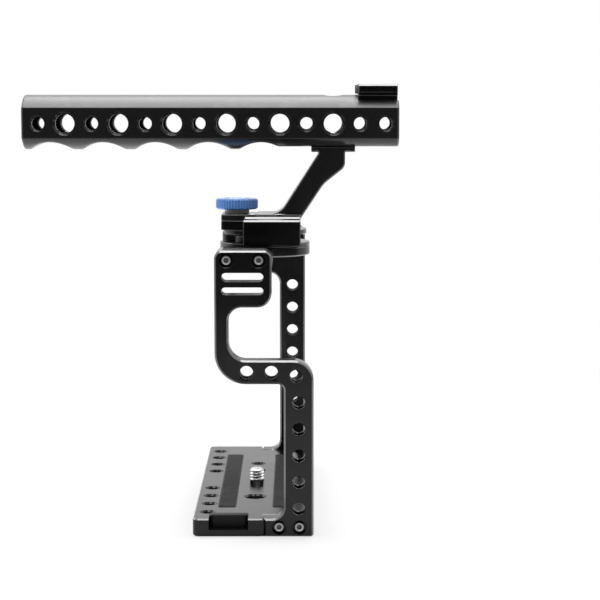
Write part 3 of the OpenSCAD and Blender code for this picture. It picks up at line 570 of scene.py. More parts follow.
@dataclass(frozen=True)
class Finish:
    """A finish with one material for faces and one for eased edges, whose lighter colour is a painted
    highlight.
    """
    name: str
    slot: str
    colour: Colour
    roughness: float
    metallic: float = 0.0
    ior: float = 1.5
    # How much lighter the eased edges are: a painted highlight.
    edge_highlight_gain: float = 1.0
    edge_metallic: float | None = None
    edge_roughness: float | None = None
    coat: float = 0.0
    coat_roughness: float = 0.08

    def materials(self) -> list[bpy.types.Material]:
        """The two materials, made once."""
        return [self._material(False), self._material(True)]

    def _material(self, edge: bool) -> bpy.types.Material:
        """One of the two materials.

        Args:
            edge: Whether it is the one for eased edges, whose lighter colour is a painted highlight.

        Returns:
            The material, new or from an earlier call.
        """
        name = f"{self.name}_edge" if edge else self.name
        made = bpy.data.materials.get(name)
        if made:
            return made
        made = bpy.data.materials.new(name)
        made.use_nodes = True
        sheet = Sheet(made.node_tree)
        place = sheet.node("ShaderNodeTexCoord").out("Object")
        metallic = self.edge_metallic if edge and self.edge_metallic is not None else self.metallic
        rough = self.edge_roughness if edge and self.edge_roughness is not None else self.roughness
        values = {"Metallic": metallic, "IOR": self.ior, "Coat Weight": self.coat,
                  "Coat Roughness": self.coat_roughness}
        values.update(self.surface(sheet, place, self.edge_highlight_gain if edge else 1.0, rough))
        shader = sheet.node("ShaderNodeBsdfPrincipled", {}, values)
        sheet.node("ShaderNodeOutputMaterial", {}, {"Surface": shader.out("BSDF")})
        made.diffuse_color = rgba(self.colour)
        return made

    def surface(self, sheet: Sheet, place: Wire, gain: float, rough: float) -> dict[str, object]:
        """Colour, roughness and normal of the surface.

        Args:
            sheet: The sheet to write on.
            place: Coordinates in the object's own frame, in metres.
            gain: How much lighter the colour is; above 1 on eased edges, as a painted highlight.
            rough: The middle roughness.

        Returns:
            Values and wires for the shader's sockets.
        """
        raise NotImplementedError


@dataclass(frozen=True)
class Anodised(Finish):
    """Anodised aluminium: a fine grain with pale specks, soft handling marks and a little mottling."""
    grain: float = 2600.0
    grain_depth: float = 0.02
    grain_bump: float = 0.35
    grain_roughness: float = 0.1
    mottle: float = 0.18
    cloud_scale: float = 46.0
    cloud_roughness: float = 0.16
    rub_scale: float = 130.0
    rub_from: float = 0.52
    rub_to: float = 0.7
    rub_share: float = 0.22
    rub_gain: float = 1.7
    rub_roughness: float = -0.07
    speck_from: float = 0.58
    speck_to: float = 0.75
    speck_share: float = 0.35
    speck_gain: float = 1.9

    def surface(self, sheet: Sheet, place: Wire, gain: float, rough: float) -> dict[str, object]:
        """See Finish.surface."""
        cloud = sheet.noise(place, self.cloud_scale, detail=4.0, rough=0.55)
        fine = sheet.noise(place, self.grain, detail=2.0, rough=0.6)
        smudges = sheet.noise(place, self.rub_scale, detail=5.0, rough=0.65)
        rub = sheet.spread(smudges, self.rub_from, self.rub_to, 0.0, 1.0)
        dark, pale = rgba(self.colour, gain * (1 - self.mottle)), rgba(self.colour, gain * (1 + self.mottle))
        tone = sheet.mix(cloud, dark, pale)
        worn = sheet.mix(rub * self.rub_share, tone, rgba(self.colour, gain * self.rub_gain))
        speck = sheet.spread(fine, self.speck_from, self.speck_to, 0.0, self.speck_share)
        uneven = (cloud - 0.5) * self.cloud_roughness + (fine - 0.5) * self.grain_roughness
        return {"Base Color": sheet.mix(speck, worn, rgba(self.colour, gain * self.speck_gain)),
                "Roughness": uneven + rub * self.rub_roughness + rough,
                "Normal": sheet.bump(fine, self.grain_bump, self.grain_depth)}


@dataclass(frozen=True)
class Machined(Finish):
    """Machined steel: faint turning lines and small dull spots."""
    lines: float = 1400.0
    line_stretch: Spot = (1.0, 1.0, 6.0)
    line_roughness: float = 0.18
    line_bump: float = 0.25
    line_depth: float = 0.01
    spot_scale: float = 700.0
    spot_from: float = 0.5
    spot_to: float = 0.72
    spot_share: float = 0.4
    spot_gain: float = 0.55
    spot_roughness: float = 0.16

    def surface(self, sheet: Sheet, place: Wire, gain: float, rough: float) -> dict[str, object]:
        """See Finish.surface."""
        stretched = sheet.node("ShaderNodeMapping", {}, {"Vector": place, "Scale": self.line_stretch}).out(0)
        turning = sheet.noise(stretched, self.lines, detail=2.0)
        blots = sheet.noise(place, self.spot_scale, detail=4.0, rough=0.6)
        spots = sheet.spread(blots, self.spot_from, self.spot_to, 0.0, 1.0)
        tone = sheet.mix(spots * self.spot_share, rgba(self.colour, gain),
                         rgba(self.colour, gain * self.spot_gain))
        return {"Base Color": tone,
                "Roughness": spots * self.spot_roughness + (turning - 0.5) * self.line_roughness + rough,
                "Normal": sheet.bump(turning, self.line_bump, self.line_depth)}


@dataclass(frozen=True)
class Moulded(Finish):
    """Moulded rubber or nylon: a matt skin with a fine pebble and faint dust in it."""
    pebble: float = 1500.0
    pebble_bump: float = 0.4
    pebble_depth: float = 0.03
    dust_scale: float = 240.0
    dust_from: float = 0.48
    dust_to: float = 0.75
    dust_share: float = 0.3
    dust_gain: float = 1.5
    dust_roughness: float = 0.12

    def surface(self, sheet: Sheet, place: Wire, gain: float, rough: float) -> dict[str, object]:
        """See Finish.surface."""
        values = {"Vector": place, "Scale": self.pebble}
        pebbles = sheet.node("ShaderNodeTexVoronoi", {}, values).out("Distance")
        dust = sheet.noise(place, self.dust_scale, detail=4.0, rough=0.6)
        dust = sheet.spread(dust, self.dust_from, self.dust_to, 0.0, 1.0)
        tone = sheet.mix(dust * self.dust_share, rgba(self.colour, gain),
                         rgba(self.colour, gain * self.dust_gain))
        return {"Base Color": tone,
                "Roughness": dust * self.dust_roughness + rough,
                "Normal": sheet.bump(pebbles, self.pebble_bump, self.pebble_depth)}


# The edge gains below lighten each finish's eased edges: a painted highlight along them.
BLACK = Anodised("black_anodising", "black_anodised", (0.004, 0.004, 0.004), 0.19, ior=1.37,
                 edge_highlight_gain=42.0, edge_metallic=0.62, edge_roughness=0.18)
CREST = Anodised("satin_anodising", "black_anodised", (0.013, 0.013, 0.013), 0.2, ior=1.40,
                 edge_highlight_gain=5.5, edge_metallic=0.12, edge_roughness=0.36)
GREY = Anodised("dark_anodising", "black_anodised", (0.013, 0.013, 0.013), 0.2, ior=1.48,
                edge_highlight_gain=9.0, edge_metallic=0.6, edge_roughness=0.22)
BLUE = Anodised("blue_anodising", "blue_anodised", (0.15, 0.35, 0.84), 0.3, mottle=0.1,
                edge_highlight_gain=1.1, edge_metallic=0.2, edge_roughness=0.22, coat=0.5)
STEEL = Machined("screw_steel", "screw_steel", (0.80, 0.80, 0.80), 0.34, metallic=1.0, edge_highlight_gain=1.15)
# Painted shade: dark steel that stands for the shade in hexagon sockets and round the sides of cap screw
# heads.
SHADED_SOCKET = Machined("socket_painted_shade", "screw_steel", (0.16, 0.16, 0.16), 0.5, metallic=0.5)
SPRING = Machined("blackened_spring_steel", "spring_steel", (0.012, 0.012, 0.012), 0.5, ior=1.3,
                  edge_highlight_gain=1.5)
NYLON = Moulded("washer_nylon", "washer_nylon", (0.86, 0.82, 0.70), 0.45, edge_highlight_gain=1.05)
RUBBER = Moulded("moulded_rubber", "rubber", (0.006, 0.006, 0.006), 0.55, ior=1.4, edge_highlight_gain=2.0)


# Sub-assemblies

@dataclass
class SubAssembly:
    """Pieces that are made together. Each rides on a body and stands for a node of the frame."""
    body: str = "cage"

    def keep(self, made: bpy.types.Object, node: str, finish: Finish, body: str | None = None) -> None:
        """Smooths a finished piece, sets it on its body, hides its node and reports it.

        Args:
            made: The piece.
            node: The node that it stands for.
            finish: Its finish; not used.
            body: The body that it rides on, the sub-assembly's own when left out.
        """
        polish(made)
        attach(made, body or self.body)
        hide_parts(node)
        LOG.info("%s: %d faces for %s on %s", made.name, len(made.data.polygons), node, body or self.body)

    def dress(self, node: str, finish: Finish) -> None:
        """Gives a node of the frame, which stays as it is, a finish.

        Args:
            node: The node.
            finish: Its finish.
        """
        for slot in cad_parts[node].material_slots:
            slot.link = "OBJECT"
            slot.material = finish.materials()[0]
        LOG.info("%s: keeps its own shape, in %s", node, finish.name)


@dataclass
class Screws(SubAssembly):
    """Socket screws, with eased heads and hexagon sockets."""
    socket_share: float = 0.58
    socket_depth_share: float = 0.6
    socket_lip_share: float = 0.05
    head_edge_share: float = 0.075
    sunk_socket_share: float = 0.9
    sunk_depth_share: float = 0.8
    sunk_lip: float = 0.1
    sunk_rim: float = 0.05
    head_steps: int = 10
    shank_steps: int = 8
    point: float = 0.4

    def cap_head(self, draft: Draft, centre: Point, plane: Plane, face: float, sign: float, head_d: float,
                 head_t: float, shank_d: float, length: float) -> Draft:
        """Adds a cap screw.

        Args:
            draft: The draft to add it to.
            centre: Its axis in the plane.
            plane: The plane that it is square to.
            face: Where the top of its head lies along the axis.
            sign: 1 when the head points along the axis, -1 when it points back.
            head_d: Diameter of the head.
            head_t: Thickness of the head.
            shank_d: Diameter of the shank.
            length: Length of the shank.

        Returns:
            The draft.
        """
        seat = face - sign * head_t
        # The socket's wall takes the third material, painted shade in the hexagon; so do the head's side and
        # eased edges below.
        socket = Hole(Outline.hexagon(*centre, head_d * self.socket_share), head_t * self.socket_depth_share,
                      self.socket_lip_share * head_d, True, sign > 0, wall_slot=2)
        low, high = sorted((face, seat))
        draft.slab(Outline.circle(*centre, head_d / 2, self.head_steps), low, high, plane,
                   head_d * self.head_edge_share, holes=[socket], slots=(2, 2))
        low, high = sorted((seat, seat - sign * length))
        return draft.slab(Outline.circle(*centre, shank_d / 2, self.shank_steps), low, high, plane,
                          self.point / 2)

    def sunk_head(self, draft: Draft, centre: Point, face: float, sign: float, head_d: float, shank_d: float,
                  length: float) -> Draft:
        """Adds a countersunk screw along Z.

        Args:
            draft: The draft to add it to.
            centre: Its axis across X and Y.
            face: Height of its head's top.
            sign: 1 when the head points up, -1 when it points down.
            head_d: Diameter of the head.
            shank_d: Diameter of the shank.
            length: Whole length.

        Returns:
            The draft.
        """
        cone = (head_d - shank_d) / 2
        hexagon = Outline.hexagon(*centre, head_d * self.socket_share * self.sunk_socket_share)
        # The socket's wall takes the third material: painted shade in the hexagon.
        socket = Hole(hexagon, cone * self.sunk_depth_share, self.sunk_lip, True, sign > 0, wall_slot=2)
        low, high = sorted((face, face - sign * (cone + self.sunk_rim)))
        edge, edge_low = (self.sunk_rim, cone) if sign > 0 else (cone, self.sunk_rim)
        draft.slab(Outline.circle(*centre, head_d / 2, self.head_steps), low, high, Plane.XY, edge, edge_low,
                   [socket], 1)
        low, high = sorted((face - sign * cone, face - sign * length))
        return draft.slab(Outline.circle(*centre, shank_d / 2, self.shank_steps), low, high, Plane.XY,
                          self.point / 2)


@dataclass
class BasePlate(SubAssembly):
    """The base plate with its bumper, grip strips and captive mounting screw."""
    rear_x: float = -23.65
    front_x: float = 23.65
    side_y: float = 74.5
    inner_y: float = 66.5
    thick: float = 7.0
    corner_r: float = 2.6
    edge: float = 0.5
    edge_low: float = 0.6
    grip_notch_x: float = 3.9
    far_notch_x: float = 1.15
    seam: float = 0.38
    seam_depth: float = 2.2
    sill_depth: float = 0.8
    hole_r: float = 2.55
    row_x: float = -18.2
    row_y: tuple[float, ...] = (17.3, 32.2, 47.1, 62.0)
    socket_y: float = 34.0
    socket_r: float = 4.0
    mouth: float = 0.7
    slot_w: float = 5.6
    travel: float = 14.0
    recess_w: float = 14.8
    recess_t: float = 3.4
    keyhole_y: float = 19.0
    keyhole_r: float = 3.375
    coarse_pitch: float = 1.27
    strip_x: float = 10.9
    strip_w: float = 7.0
    strip_l: float = 107.28
    strip_low: float = 6.5
    strip_high: float = 7.3
    strip_r: float = 0.4
    strip_edge: float = 0.15
    ribs: int = 52
    rib_inset: float = 0.3
    rib_half_share: float = 0.28
    rib_h: float = 0.2
    rib_root: float = 0.3
    rib_edge: float = 0.1
    gap: float = 0.15
    bumper_x: Point = (-17.2, -2.1)
    bumper_y: Point = (-69.5, -65.85)
    bumper_low: float = 2.6
    bumper_high: float = 7.6
    bumper_r: float = 1.6
    bumper_back_r: float = 0.3
    bumper_edge: float = 0.6
    bumper_edge_low: float = 0.1
    head_z: float = 0.3
    head_t: float = 2.4
    head_r: float = 7.0
    neck_r: float = 2.6
    thread_r: float = 3.175
    thread_z: float = 7.2
    thread_depth: float = 0.62
    thread_band: float = 0.8
    thread_rows: int = 40
    tip_z: float = 12.0
    tip_chamfer: float = 0.7
    rim_chamfer: float = 0.4
    top_chamfer: float = 0.3
    head_soft: float = 0.1
    neck_root_r: float = 0.2
    knurls: int = 60
    knurl_depth: float = 0.16
    screw_segments: int = 240
    washer_t: float = 0.5
    washer_gap: float = 0.1
    washer_soft: float = 0.15
    coin_w: float = 1.8
    coin_t: float = 1.1

    def build(self) -> None:
        """Builds every piece on the plate."""
        self._plate()
        self._strips()
        self._bumper()
        self._mounting_screw()
        self.dress("end_bumper_screw", STEEL)

    def _plate(self) -> None:
        """The plate, with notches for the feet, rows of tapped holes, the screw's slot and the pocket."""
        outline = Outline([
            (self.rear_x, -self.side_y, self.corner_r), (self.grip_notch_x, -self.side_y, 0.0),
            (self.grip_notch_x, -self.inner_y, 0.0), (self.front_x, -self.inner_y, 0.0),
            (self.front_x, self.inner_y, 0.0), (self.far_notch_x, self.inner_y, 0.0),
            (self.far_notch_x, self.side_y, 0.0), (self.rear_x, self.side_y, self.corner_r)])
        taps = [(self.row_x, side * y, self.hole_r) for side in (-1, 1) for y in self.row_y]
        taps += [(0.0, self.socket_y, self.hole_r), (0.0, -self.socket_y, self.socket_r)]
        holes = [Hole(Outline.circle(x, y, r), lip=self.mouth, chamfered=True, pitch=self.coarse_pitch,
                      lip_slot=0) for x, y, r in taps]
        plate = Draft().slab(outline, 0.0, self.thick, edge=self.edge, edge_low=self.edge_low, holes=holes,
                             steps=1)
        plate = plate.dull(lambda at: at.z < self.edge_low).solid("base_plate_body", BLACK)
        self._close_seams(plate)
        beyond, over, gap = -self.thick, 2 * self.thick, self.gap
        slot = Outline.slot(0.0, 0.0, 2 * self.travel + self.slot_w, self.slot_w, True)
        recess = Outline.slot(0.0, 0.0, 2 * self.travel + self.recess_w, self.recess_w, True)
        keyway = Outline.box(-self.slot_w / 2, 0.0, self.slot_w / 2, self.keyhole_y)
        keyhole = Outline.circle(0.0, self.keyhole_y, self.keyhole_r)
        (x0, x1), back = self.bumper_x, self.bumper_y[1]
        pocket = Outline.box(x0 - gap, -self.side_y - self.thick, x1 + gap, back + gap)
        cuts = [(slot, beyond, over), (recess, beyond, self.recess_t), (keyway, beyond, over),
                (keyhole, beyond, over), (pocket, self.bumper_low, over)]
        for side in (-1, 1):
            middle, half, end = side * self.strip_x, self.strip_w / 2 + gap, self.strip_l / 2 + gap
            cuts.append((Outline.box(middle - half, -end, middle + half, end), self.strip_low, over))
        for shape, low, high in cuts:
            combine(plate, Draft().slab(shape, low, high, edge=0.0), Join.CUT)
        self.keep(plate, "base_plate", BLACK)

    def _close_seams(self, plate: bpy.types.Object) -> None:
        """Closes the seams at both feet behind a narrow groove, so that no light passes through them.

        Args:
            plate: The plate, which gains a narrow fillet in each seam.
        """
        inner, top = self.inner_y - self.seam, self.thick - self.edge
        front, sill = self.side_y - self.seam_depth, self.side_y - self.sill_depth
        for side, x in ((-1, self.grip_notch_x), (1, self.far_notch_x)):
            profile = [(side * y, z, 0.0) for y, z in ((sill, 0.0), (inner, 0.0), (inner, top), (front, top),
                                                       (front, self.edge))]
            fillet = Draft().slab(Outline(profile), x - self.seam, x + self.seam, Plane.YZ, 0.0)
            combine(plate, fillet, Join.ADD)

    def _strips(self) -> None:
        """Two ribbed grip strips."""
        draft = Draft()
        pitch = self.strip_l / self.ribs
        rib_half = pitch * self.rib_half_share
        top, end = self.strip_high, self.strip_l / 2
        for side in (-1, 1):
            x0, x1 = side * self.strip_x - self.strip_w / 2, side * self.strip_x + self.strip_w / 2
            strip = Outline.box(x0, -end, x1, end, self.strip_r)
            draft.slab(strip, self.strip_low, top - self.rib_h, edge=self.strip_edge, edge_low=0.0)
            for k in range(self.ribs):
                y = -end + (k + 0.5) * pitch
                rib = Outline.box(x0 + self.rib_inset, y - rib_half, x1 - self.rib_inset, y + rib_half,
                                  self.strip_r / 2)
                draft.slab(rib, top - self.rib_root, top, edge=self.rib_edge, edge_low=0.0)
        self.keep(draft.solid("grip_strips_body", RUBBER), "base_grip_strips", RUBBER)

    def _bumper(self) -> None:
        """The moulded bumper block."""
        (x0, x1), (y0, back), back_r = self.bumper_x, self.bumper_y, self.bumper_back_r
        outline = Outline([(x0, y0, self.bumper_r), (x1, y0, self.bumper_r), (x1, back, back_r),
                           (x0, back, back_r)])
        made = Draft().slab(outline, self.bumper_low, self.bumper_high, edge=self.bumper_edge,
                            edge_low=self.bumper_edge_low)
        self.keep(made.solid("bumper_body", RUBBER), "end_bumper", RUBBER)

    def _mounting_screw(self) -> None:
        """The captive screw with a coin slot and a real helix, and its washer."""
        top = self.head_z + self.head_t

        def shape(radius: float, z: float, angle: float) -> float:
            """Cuts a helix into the thread and a fine straight knurl into the head's rim.

            Args:
                radius: Radius of the plain profile.
                z: Height.
                angle: Angle round the axis.

            Returns:
                The radius there.
            """
            if z >= self.thread_z and self.thread_r - self.thread_band < radius <= self.thread_r:
                turns = (z - self.thread_z) / self.coarse_pitch - angle / math.tau
                return radius - self.thread_depth * zigzag(turns)
            if top > z > self.head_z and radius > self.head_r - self.rim_chamfer:
                return radius - self.knurl_depth * zigzag(angle * self.knurls / math.tau)
            return radius

        rise = (self.tip_z - self.tip_chamfer - self.thread_z) / self.thread_rows
        thread = [(self.thread_r, self.thread_z + k * rise, 0.0) for k in range(self.thread_rows + 1)]
        rim, face, soft = self.rim_chamfer, self.top_chamfer, self.head_soft
        profile = Outline([(0.0, self.head_z, 0.0), (self.head_r - rim, self.head_z, 0.0),
                           (self.head_r, self.head_z + rim, soft), (self.head_r, top - face, soft),
                           (self.head_r - face, top, soft), (self.neck_r, top, self.neck_root_r),
                           (self.neck_r, self.thread_z, 0.0), *thread,
                           (self.thread_r - self.tip_chamfer, self.tip_z, 0.0), (0.0, self.tip_z, 0.0)],
                          EASE_STEPS)
        screw = Draft().turned(profile, (0.0, 0.0), segments=self.screw_segments, shape=shape)
        screw = screw.solid("mounting_screw_body", STEEL)
        coin = Outline.box(-2 * self.head_r, -self.coin_w / 2, 2 * self.head_r, self.coin_w / 2)
        coin = Draft().slab(coin, self.head_z - OVERCUT, self.head_z + self.coin_t, edge=0.0)
        combine(screw, coin, Join.CUT)
        self.keep(screw, "mounting_screw", STEEL, "captive_screw")
        low, bore = top + self.washer_gap, self.neck_r + self.washer_gap
        high = low + self.washer_t
        ring = Outline([(bore, low, 0.0), (self.head_r, low, soft), (self.head_r, high, self.washer_soft),
                        (bore, high, 0.0)], EASE_STEPS)
        made = Draft().turned(ring, (0.0, 0.0)).solid("mounting_washer_body", NYLON)
        self.keep(made, "mounting_screw_washer", NYLON, "screw_slider")


@dataclass
class SideBrackets(SubAssembly):
    """The grip side and far side brackets with their screws."""
    outer_y: float = 74.5
    thick: float = 8.0
    corner_steps: int = 12
    edge: float = 0.7
    hole_r: float = 2.55
    hole_lip: float = 0.2
    vent_lip: float = 0.1
    pitch: float = 1.27
    foot_top: float = 7.0
    grip: tuple[Corner, ...] = (
        (4.3, 0.0, 0.0), (23.65, 0.0, 1.2), (23.65, 69.4, 8.0), (-9.3, 69.4, 6.8), (-9.3, 90.0, 5.2),
        (7.4, 90.0, 5.6), (7.4, 112.0, 3.0), (-14.7, 112.0, 3.0), (-14.7, 60.1, 12.0), (12.05, 60.1, 2.4),
        (12.05, 7.0, 4.6), (4.3, 7.0, 0.0))
    far: tuple[Corner, ...] = (
        (1.55, 0.0, 0.0), (20.9, 0.0, 1.2), (20.9, 112.0, 4.0), (-14.7, 112.0, 3.0), (-14.7, 90.0, 5.6),
        (9.3, 90.0, 5.2), (9.3, 7.0, 4.6), (1.55, 7.0, 0.0))
    level_holes: tuple[Point, ...] = ((-2.4, 64.75), (7.23, 64.75), (16.92, 63.2))
    upright_z: float = 11.0
    upright_pitch: float = 10.46
    grip_hole_x: float = 17.85
    grip_holes: int = 5
    far_hole_x: float = 15.1
    far_holes: int = 8
    vent_x: float = -3.85
    vents: tuple[Point, ...] = ((101.7, 3.4), (96.35, 2.89))
    vent_l: float = 16.2
    head_screws: tuple[Point, ...] = ((-10.1, 108.2), (2.4, 108.2))
    grip_foot_screws: tuple[Point, ...] = ((10.17, 3.5), (18.09, 3.5))
    far_foot_screws: tuple[Point, ...] = ((7.42, 3.5), (15.34, 3.5))
    bore_r: float = 2.8
    bore_t: float = 2.9
    bore_lip: float = 0.15
    head_d: float = 3.8
    head_t: float = 2.0
    shank_d: float = 2.4
    shank_l: float = 12.1

    def build(self) -> None:
        """Builds both brackets and their screws."""
        tapped = [*self.level_holes, *self._row(self.grip_hole_x, self.grip_holes)]
        self._bracket("grip_side_bracket", self.grip, tapped, self.grip_foot_screws, -1)
        tapped = self._row(self.far_hole_x, self.far_holes)
        self._bracket("far_side_bracket", self.far, tapped, self.far_foot_screws, 1)
        for node, spots, side in (("grip_bracket_top_screws", self.head_screws, -1),
                                  ("grip_bracket_base_screws", self.grip_foot_screws, -1),
                                  ("far_bracket_top_screws", self.head_screws, 1),
                                  ("far_bracket_base_screws", self.far_foot_screws, 1)):
            self._screws(node, spots, side)

    def _row(self, x: float, count: int) -> list[Point]:
        """Centres of the tapped holes up an upright."""
        return [(x, self.upright_z + k * self.upright_pitch) for k in range(count)]

    def _bracket(self, node: str, corners: Sequence[Corner], tapped: Sequence[Point], foot: Sequence[Point],
                 side: int) -> None:
        """One bracket: a milled plate with eased edges, tapped holes, vents and pockets for its screws.

        Args:
            node: The node that it stands for.
            corners: Its outline across X and Z, starting at the seam beside its foot.
            tapped: Centres of its tapped holes.
            foot: Centres of its foot's screws.
            side: -1 on the grip side, 1 on the far side.
        """
        low, high = sorted((side * self.outer_y, side * (self.outer_y - self.thick)))
        holes = [Hole(Outline.circle(x, z, self.hole_r), lip=self.hole_lip, pitch=self.pitch, lip_slot=0)
                 for x, z in tapped]
        holes += [Hole(Outline.slot(self.vent_x, z, self.vent_l, h), lip=self.vent_lip, chamfered=True,
                       lip_slot=0) for z, h in self.vents]
        holes += [Hole(Outline.circle(x, z, self.bore_r), self.bore_t, self.bore_lip, chamfered=True,
                       from_high=side > 0, lip_slot=0) for x, z in (*self.head_screws, *foot)]
        seam = corners[0][0]
        outline = Outline(corners, self.corner_steps)
        draft = Draft().slab(outline, low, high, Plane.XZ, self.edge, holes=holes, steps=1)
        draft.dull(lambda at: abs(at.x - seam) < self.edge and at.z < self.foot_top)
        self.keep(draft.solid(f"{node}_body", BLACK), node, BLACK)

    def _screws(self, node: str, spots: Sequence[Point], side: int) -> None:
        """The screws of one bracket's head or foot.

        Args:
            node: The node that they stand for.
            spots: Their centres across X and Z.
            side: -1 on the grip side, 1 on the far side.
        """
        face = side * (self.outer_y - self.bore_t + self.head_t)
        draft = Draft()
        for spot in spots:
            Screws().cap_head(draft, spot, Plane.XZ, face, side, self.head_d, self.head_t, self.shank_d,
                              self.shank_l)
        self.keep(draft.solid(f"{node}_body", STEEL, SHADED_SOCKET), node, STEEL)


@dataclass
class CrossbarHub(SubAssembly):
    """The crossbar with its round table, the swivel plate on it and the handle's collar."""
    x0: float = -14.7
    x1: float = 7.4
    low: float = 104.4
    high: float = 112.0
    block_y: float = 56.5
    end_y: float = 66.5
    block_r: float = 3.0
    block_foot_r: float = 0.5
    block_edge: float = 0.6
    bar_high: float = 107.8
    bar_edge: float = 0.5
    axis: Point = (3.6, 0.0)
    table_r: float = 19.0
    table_high: float = 108.25
    table_foot_r: float = 0.6
    table_soft: float = 0.1
    segments: int = 160
    bore_r: float = 8.1
    recess_r: float = 12.2
    recess_high: float = 106.3
    bar_holes: tuple[Point, ...] = ((-3.65, -43.9), (-3.65, -29.0), (-3.65, 29.0), (-3.65, 43.9))
    hole_r: float = 2.55
    hole_lip: float = 0.4
    hole_pitch: float = 1.0
    groove: float = 0.3
    groove_r: float = 0.12
    plate_high: float = 109.95
    collar_low: float = 106.2
    neck_low: float = 110.05
    neck_r: float = 14.0
    flange_low: float = 112.9
    flange_high: float = 115.3
    flange_r: float = 17.6
    flange_edge: float = 0.6
    flange_soft: float = 0.1
    rim_soft: float = 0.15
    foot_soft: float = 0.3
    neck_root_r: float = 0.6
    spigot_r: float = 8.0
    boss_x: float = -8.2
    boss_r: float = 6.2
    boss_sink: float = 0.4

    def build(self) -> None:
        """Builds the crossbar, the swivel plate and the collar."""
        self._crossbar()
        low, high, rim, groove = self.table_high, self.plate_high, self.table_r, self.groove
        ring = Outline([(self.bore_r, low, 0.0), (rim - groove, low, 0.0),
                        (rim, low + groove, self.groove_r), (rim, high - groove, self.groove_r),
                        (rim - groove, high, self.groove_r), (self.bore_r, high, 0.0)], EASE_STEPS)
        plate = Draft().turned(ring, self.axis, segments=self.segments).solid("swivel_plate_body", GREY)
        self.keep(plate, "swivel_plate", GREY)
        self._collar()
        for node in ("swivel_plate_screws", "swivel_retainer", "swivel_bolt"):
            self.dress(node, STEEL)

    def _crossbar(self) -> None:
        """The bar between two end blocks, with the round table in its middle."""
        holes = [Hole(Outline.circle(x, y, self.hole_r), lip=self.hole_lip, chamfered=True,
                      pitch=self.hole_pitch) for x, y in self.bar_holes]
        bar = Draft().slab(Outline.box(self.x0, -self.end_y, self.x1, self.end_y), self.low, self.bar_high,
                           edge=self.bar_edge, holes=holes).solid("crossbar_body", BLACK)
        block = Outline([(self.x0, self.low, self.block_foot_r), (self.x1, self.low, self.block_foot_r),
                         (self.x1, self.high, self.block_r), (self.x0, self.high, self.block_r)])
        for side in (-1, 1):
            low, high = sorted((side * self.block_y, side * self.end_y))
            combine(bar, Draft().slab(block, low, high, Plane.XZ, self.block_edge), Join.ADD)
        table = Outline([(0.0, self.low, 0.0), (self.table_r, self.low, self.table_foot_r),
                         (self.table_r, self.table_high - self.groove, self.table_soft),
                         (self.table_r - self.groove, self.table_high, 0.0), (0.0, self.table_high, 0.0)],
                        EASE_STEPS)
        combine(bar, Draft().turned(table, self.axis, segments=self.segments), Join.ADD)
        under, over = self.low - OVERCUT, self.table_high + OVERCUT
        bore = Outline([(0.0, under, 0.0), (self.recess_r, under, 0.0),
                        (self.recess_r, self.recess_high, 0.0), (self.bore_r, self.recess_high, 0.0),
                        (self.bore_r, over, 0.0), (0.0, over, 0.0)])
        combine(bar, Draft().turned(bore, self.axis), Join.CUT)
        self.keep(bar, "top_crossbar", BLACK)

    def _collar(self) -> None:
        """The collar: spigot, neck and flange in one turning, and the boss round the lock stud."""
        shoulder = self.flange_low + self.flange_edge
        foot, rim = self.foot_soft, self.rim_soft
        profile = Outline([(0.0, self.collar_low, 0.0), (self.spigot_r, self.collar_low, foot),
                           (self.spigot_r, self.neck_low, 0.0), (self.neck_r, self.neck_low, foot),
                           (self.neck_r, self.flange_low, self.neck_root_r),
                           (self.flange_r - self.flange_edge, self.flange_low, self.flange_soft),
                           (self.flange_r, shoulder, rim), (self.flange_r, self.flange_high, rim),
                           (0.0, self.flange_high, 0.0)], EASE_STEPS)
        collar = Draft().turned(profile, self.axis, segments=self.segments).solid("collar_body", BLACK)
        boss_high = shoulder + self.boss_sink
        boss = Outline([(0.0, self.neck_low, 0.0), (self.boss_r, self.neck_low, foot),
                        (self.boss_r, boss_high, 0.0), (0.0, boss_high, 0.0)], EASE_STEPS)
        combine(collar, Draft().turned(boss, (self.boss_x, 0.0)), Join.ADD)
        self.keep(collar, "swivel_collar", BLACK, "handle")


@dataclass
class Shoe:
    """The channel of an accessory shoe, across Y and Z."""
    middle: float
    width: float
    low: float
    top: float
    edge: float
    mouth: float = 12.7
    slot_w: float = 18.6
    slot_h: float = 2.1
    lip_t: float = 2.0
    mouth_edge: float = 0.5
    groove: float = 0.0
    foot_w: float = 0.0
    undercut: float = 0.0
    foot_r: float = 0.1
    side_r: float = 0.25
    side_edge: float = 0.2
    lip_r: float = 0.2
    slot_r: float = 0.15
    corner_steps: int = 4

    def outline(self) -> Outline:
        """The channel's outline, with chamfered lips and, where there is one, a narrower foot.

        Returns:
            The outline across Y and Z.
        """
        half, mouth, slot = self.width / 2, self.mouth / 2, self.slot_w / 2
        under, floor = self.top - self.lip_t, self.top - self.lip_t - self.slot_h
        right: list[Corner] = [(half, self.low, self.side_r)]
        if self.undercut:
            foot, step = self.foot_w / 2, self.low + self.undercut
            right = [(foot, self.low, self.foot_r), (foot, step, self.foot_r), (half, step, -self.side_edge)]
        if self.groove:
            inner, roof = half - self.groove, floor + self.groove
            right += [(half, floor, 0.0), (inner, floor, 0.0), (inner, roof, 0.0),
                      (half, roof, -self.side_edge)]
        right += [(half, self.top, -self.edge), (mouth, self.top, -self.mouth_edge),
                  (mouth, under, self.lip_r), (slot, under, self.slot_r), (slot, floor, self.slot_r)]
        left = [(-y, z, r) for y, z, r in reversed(right)]
        return Outline([(y + self.middle, z, r) for y, z, r in right + left], self.corner_steps)


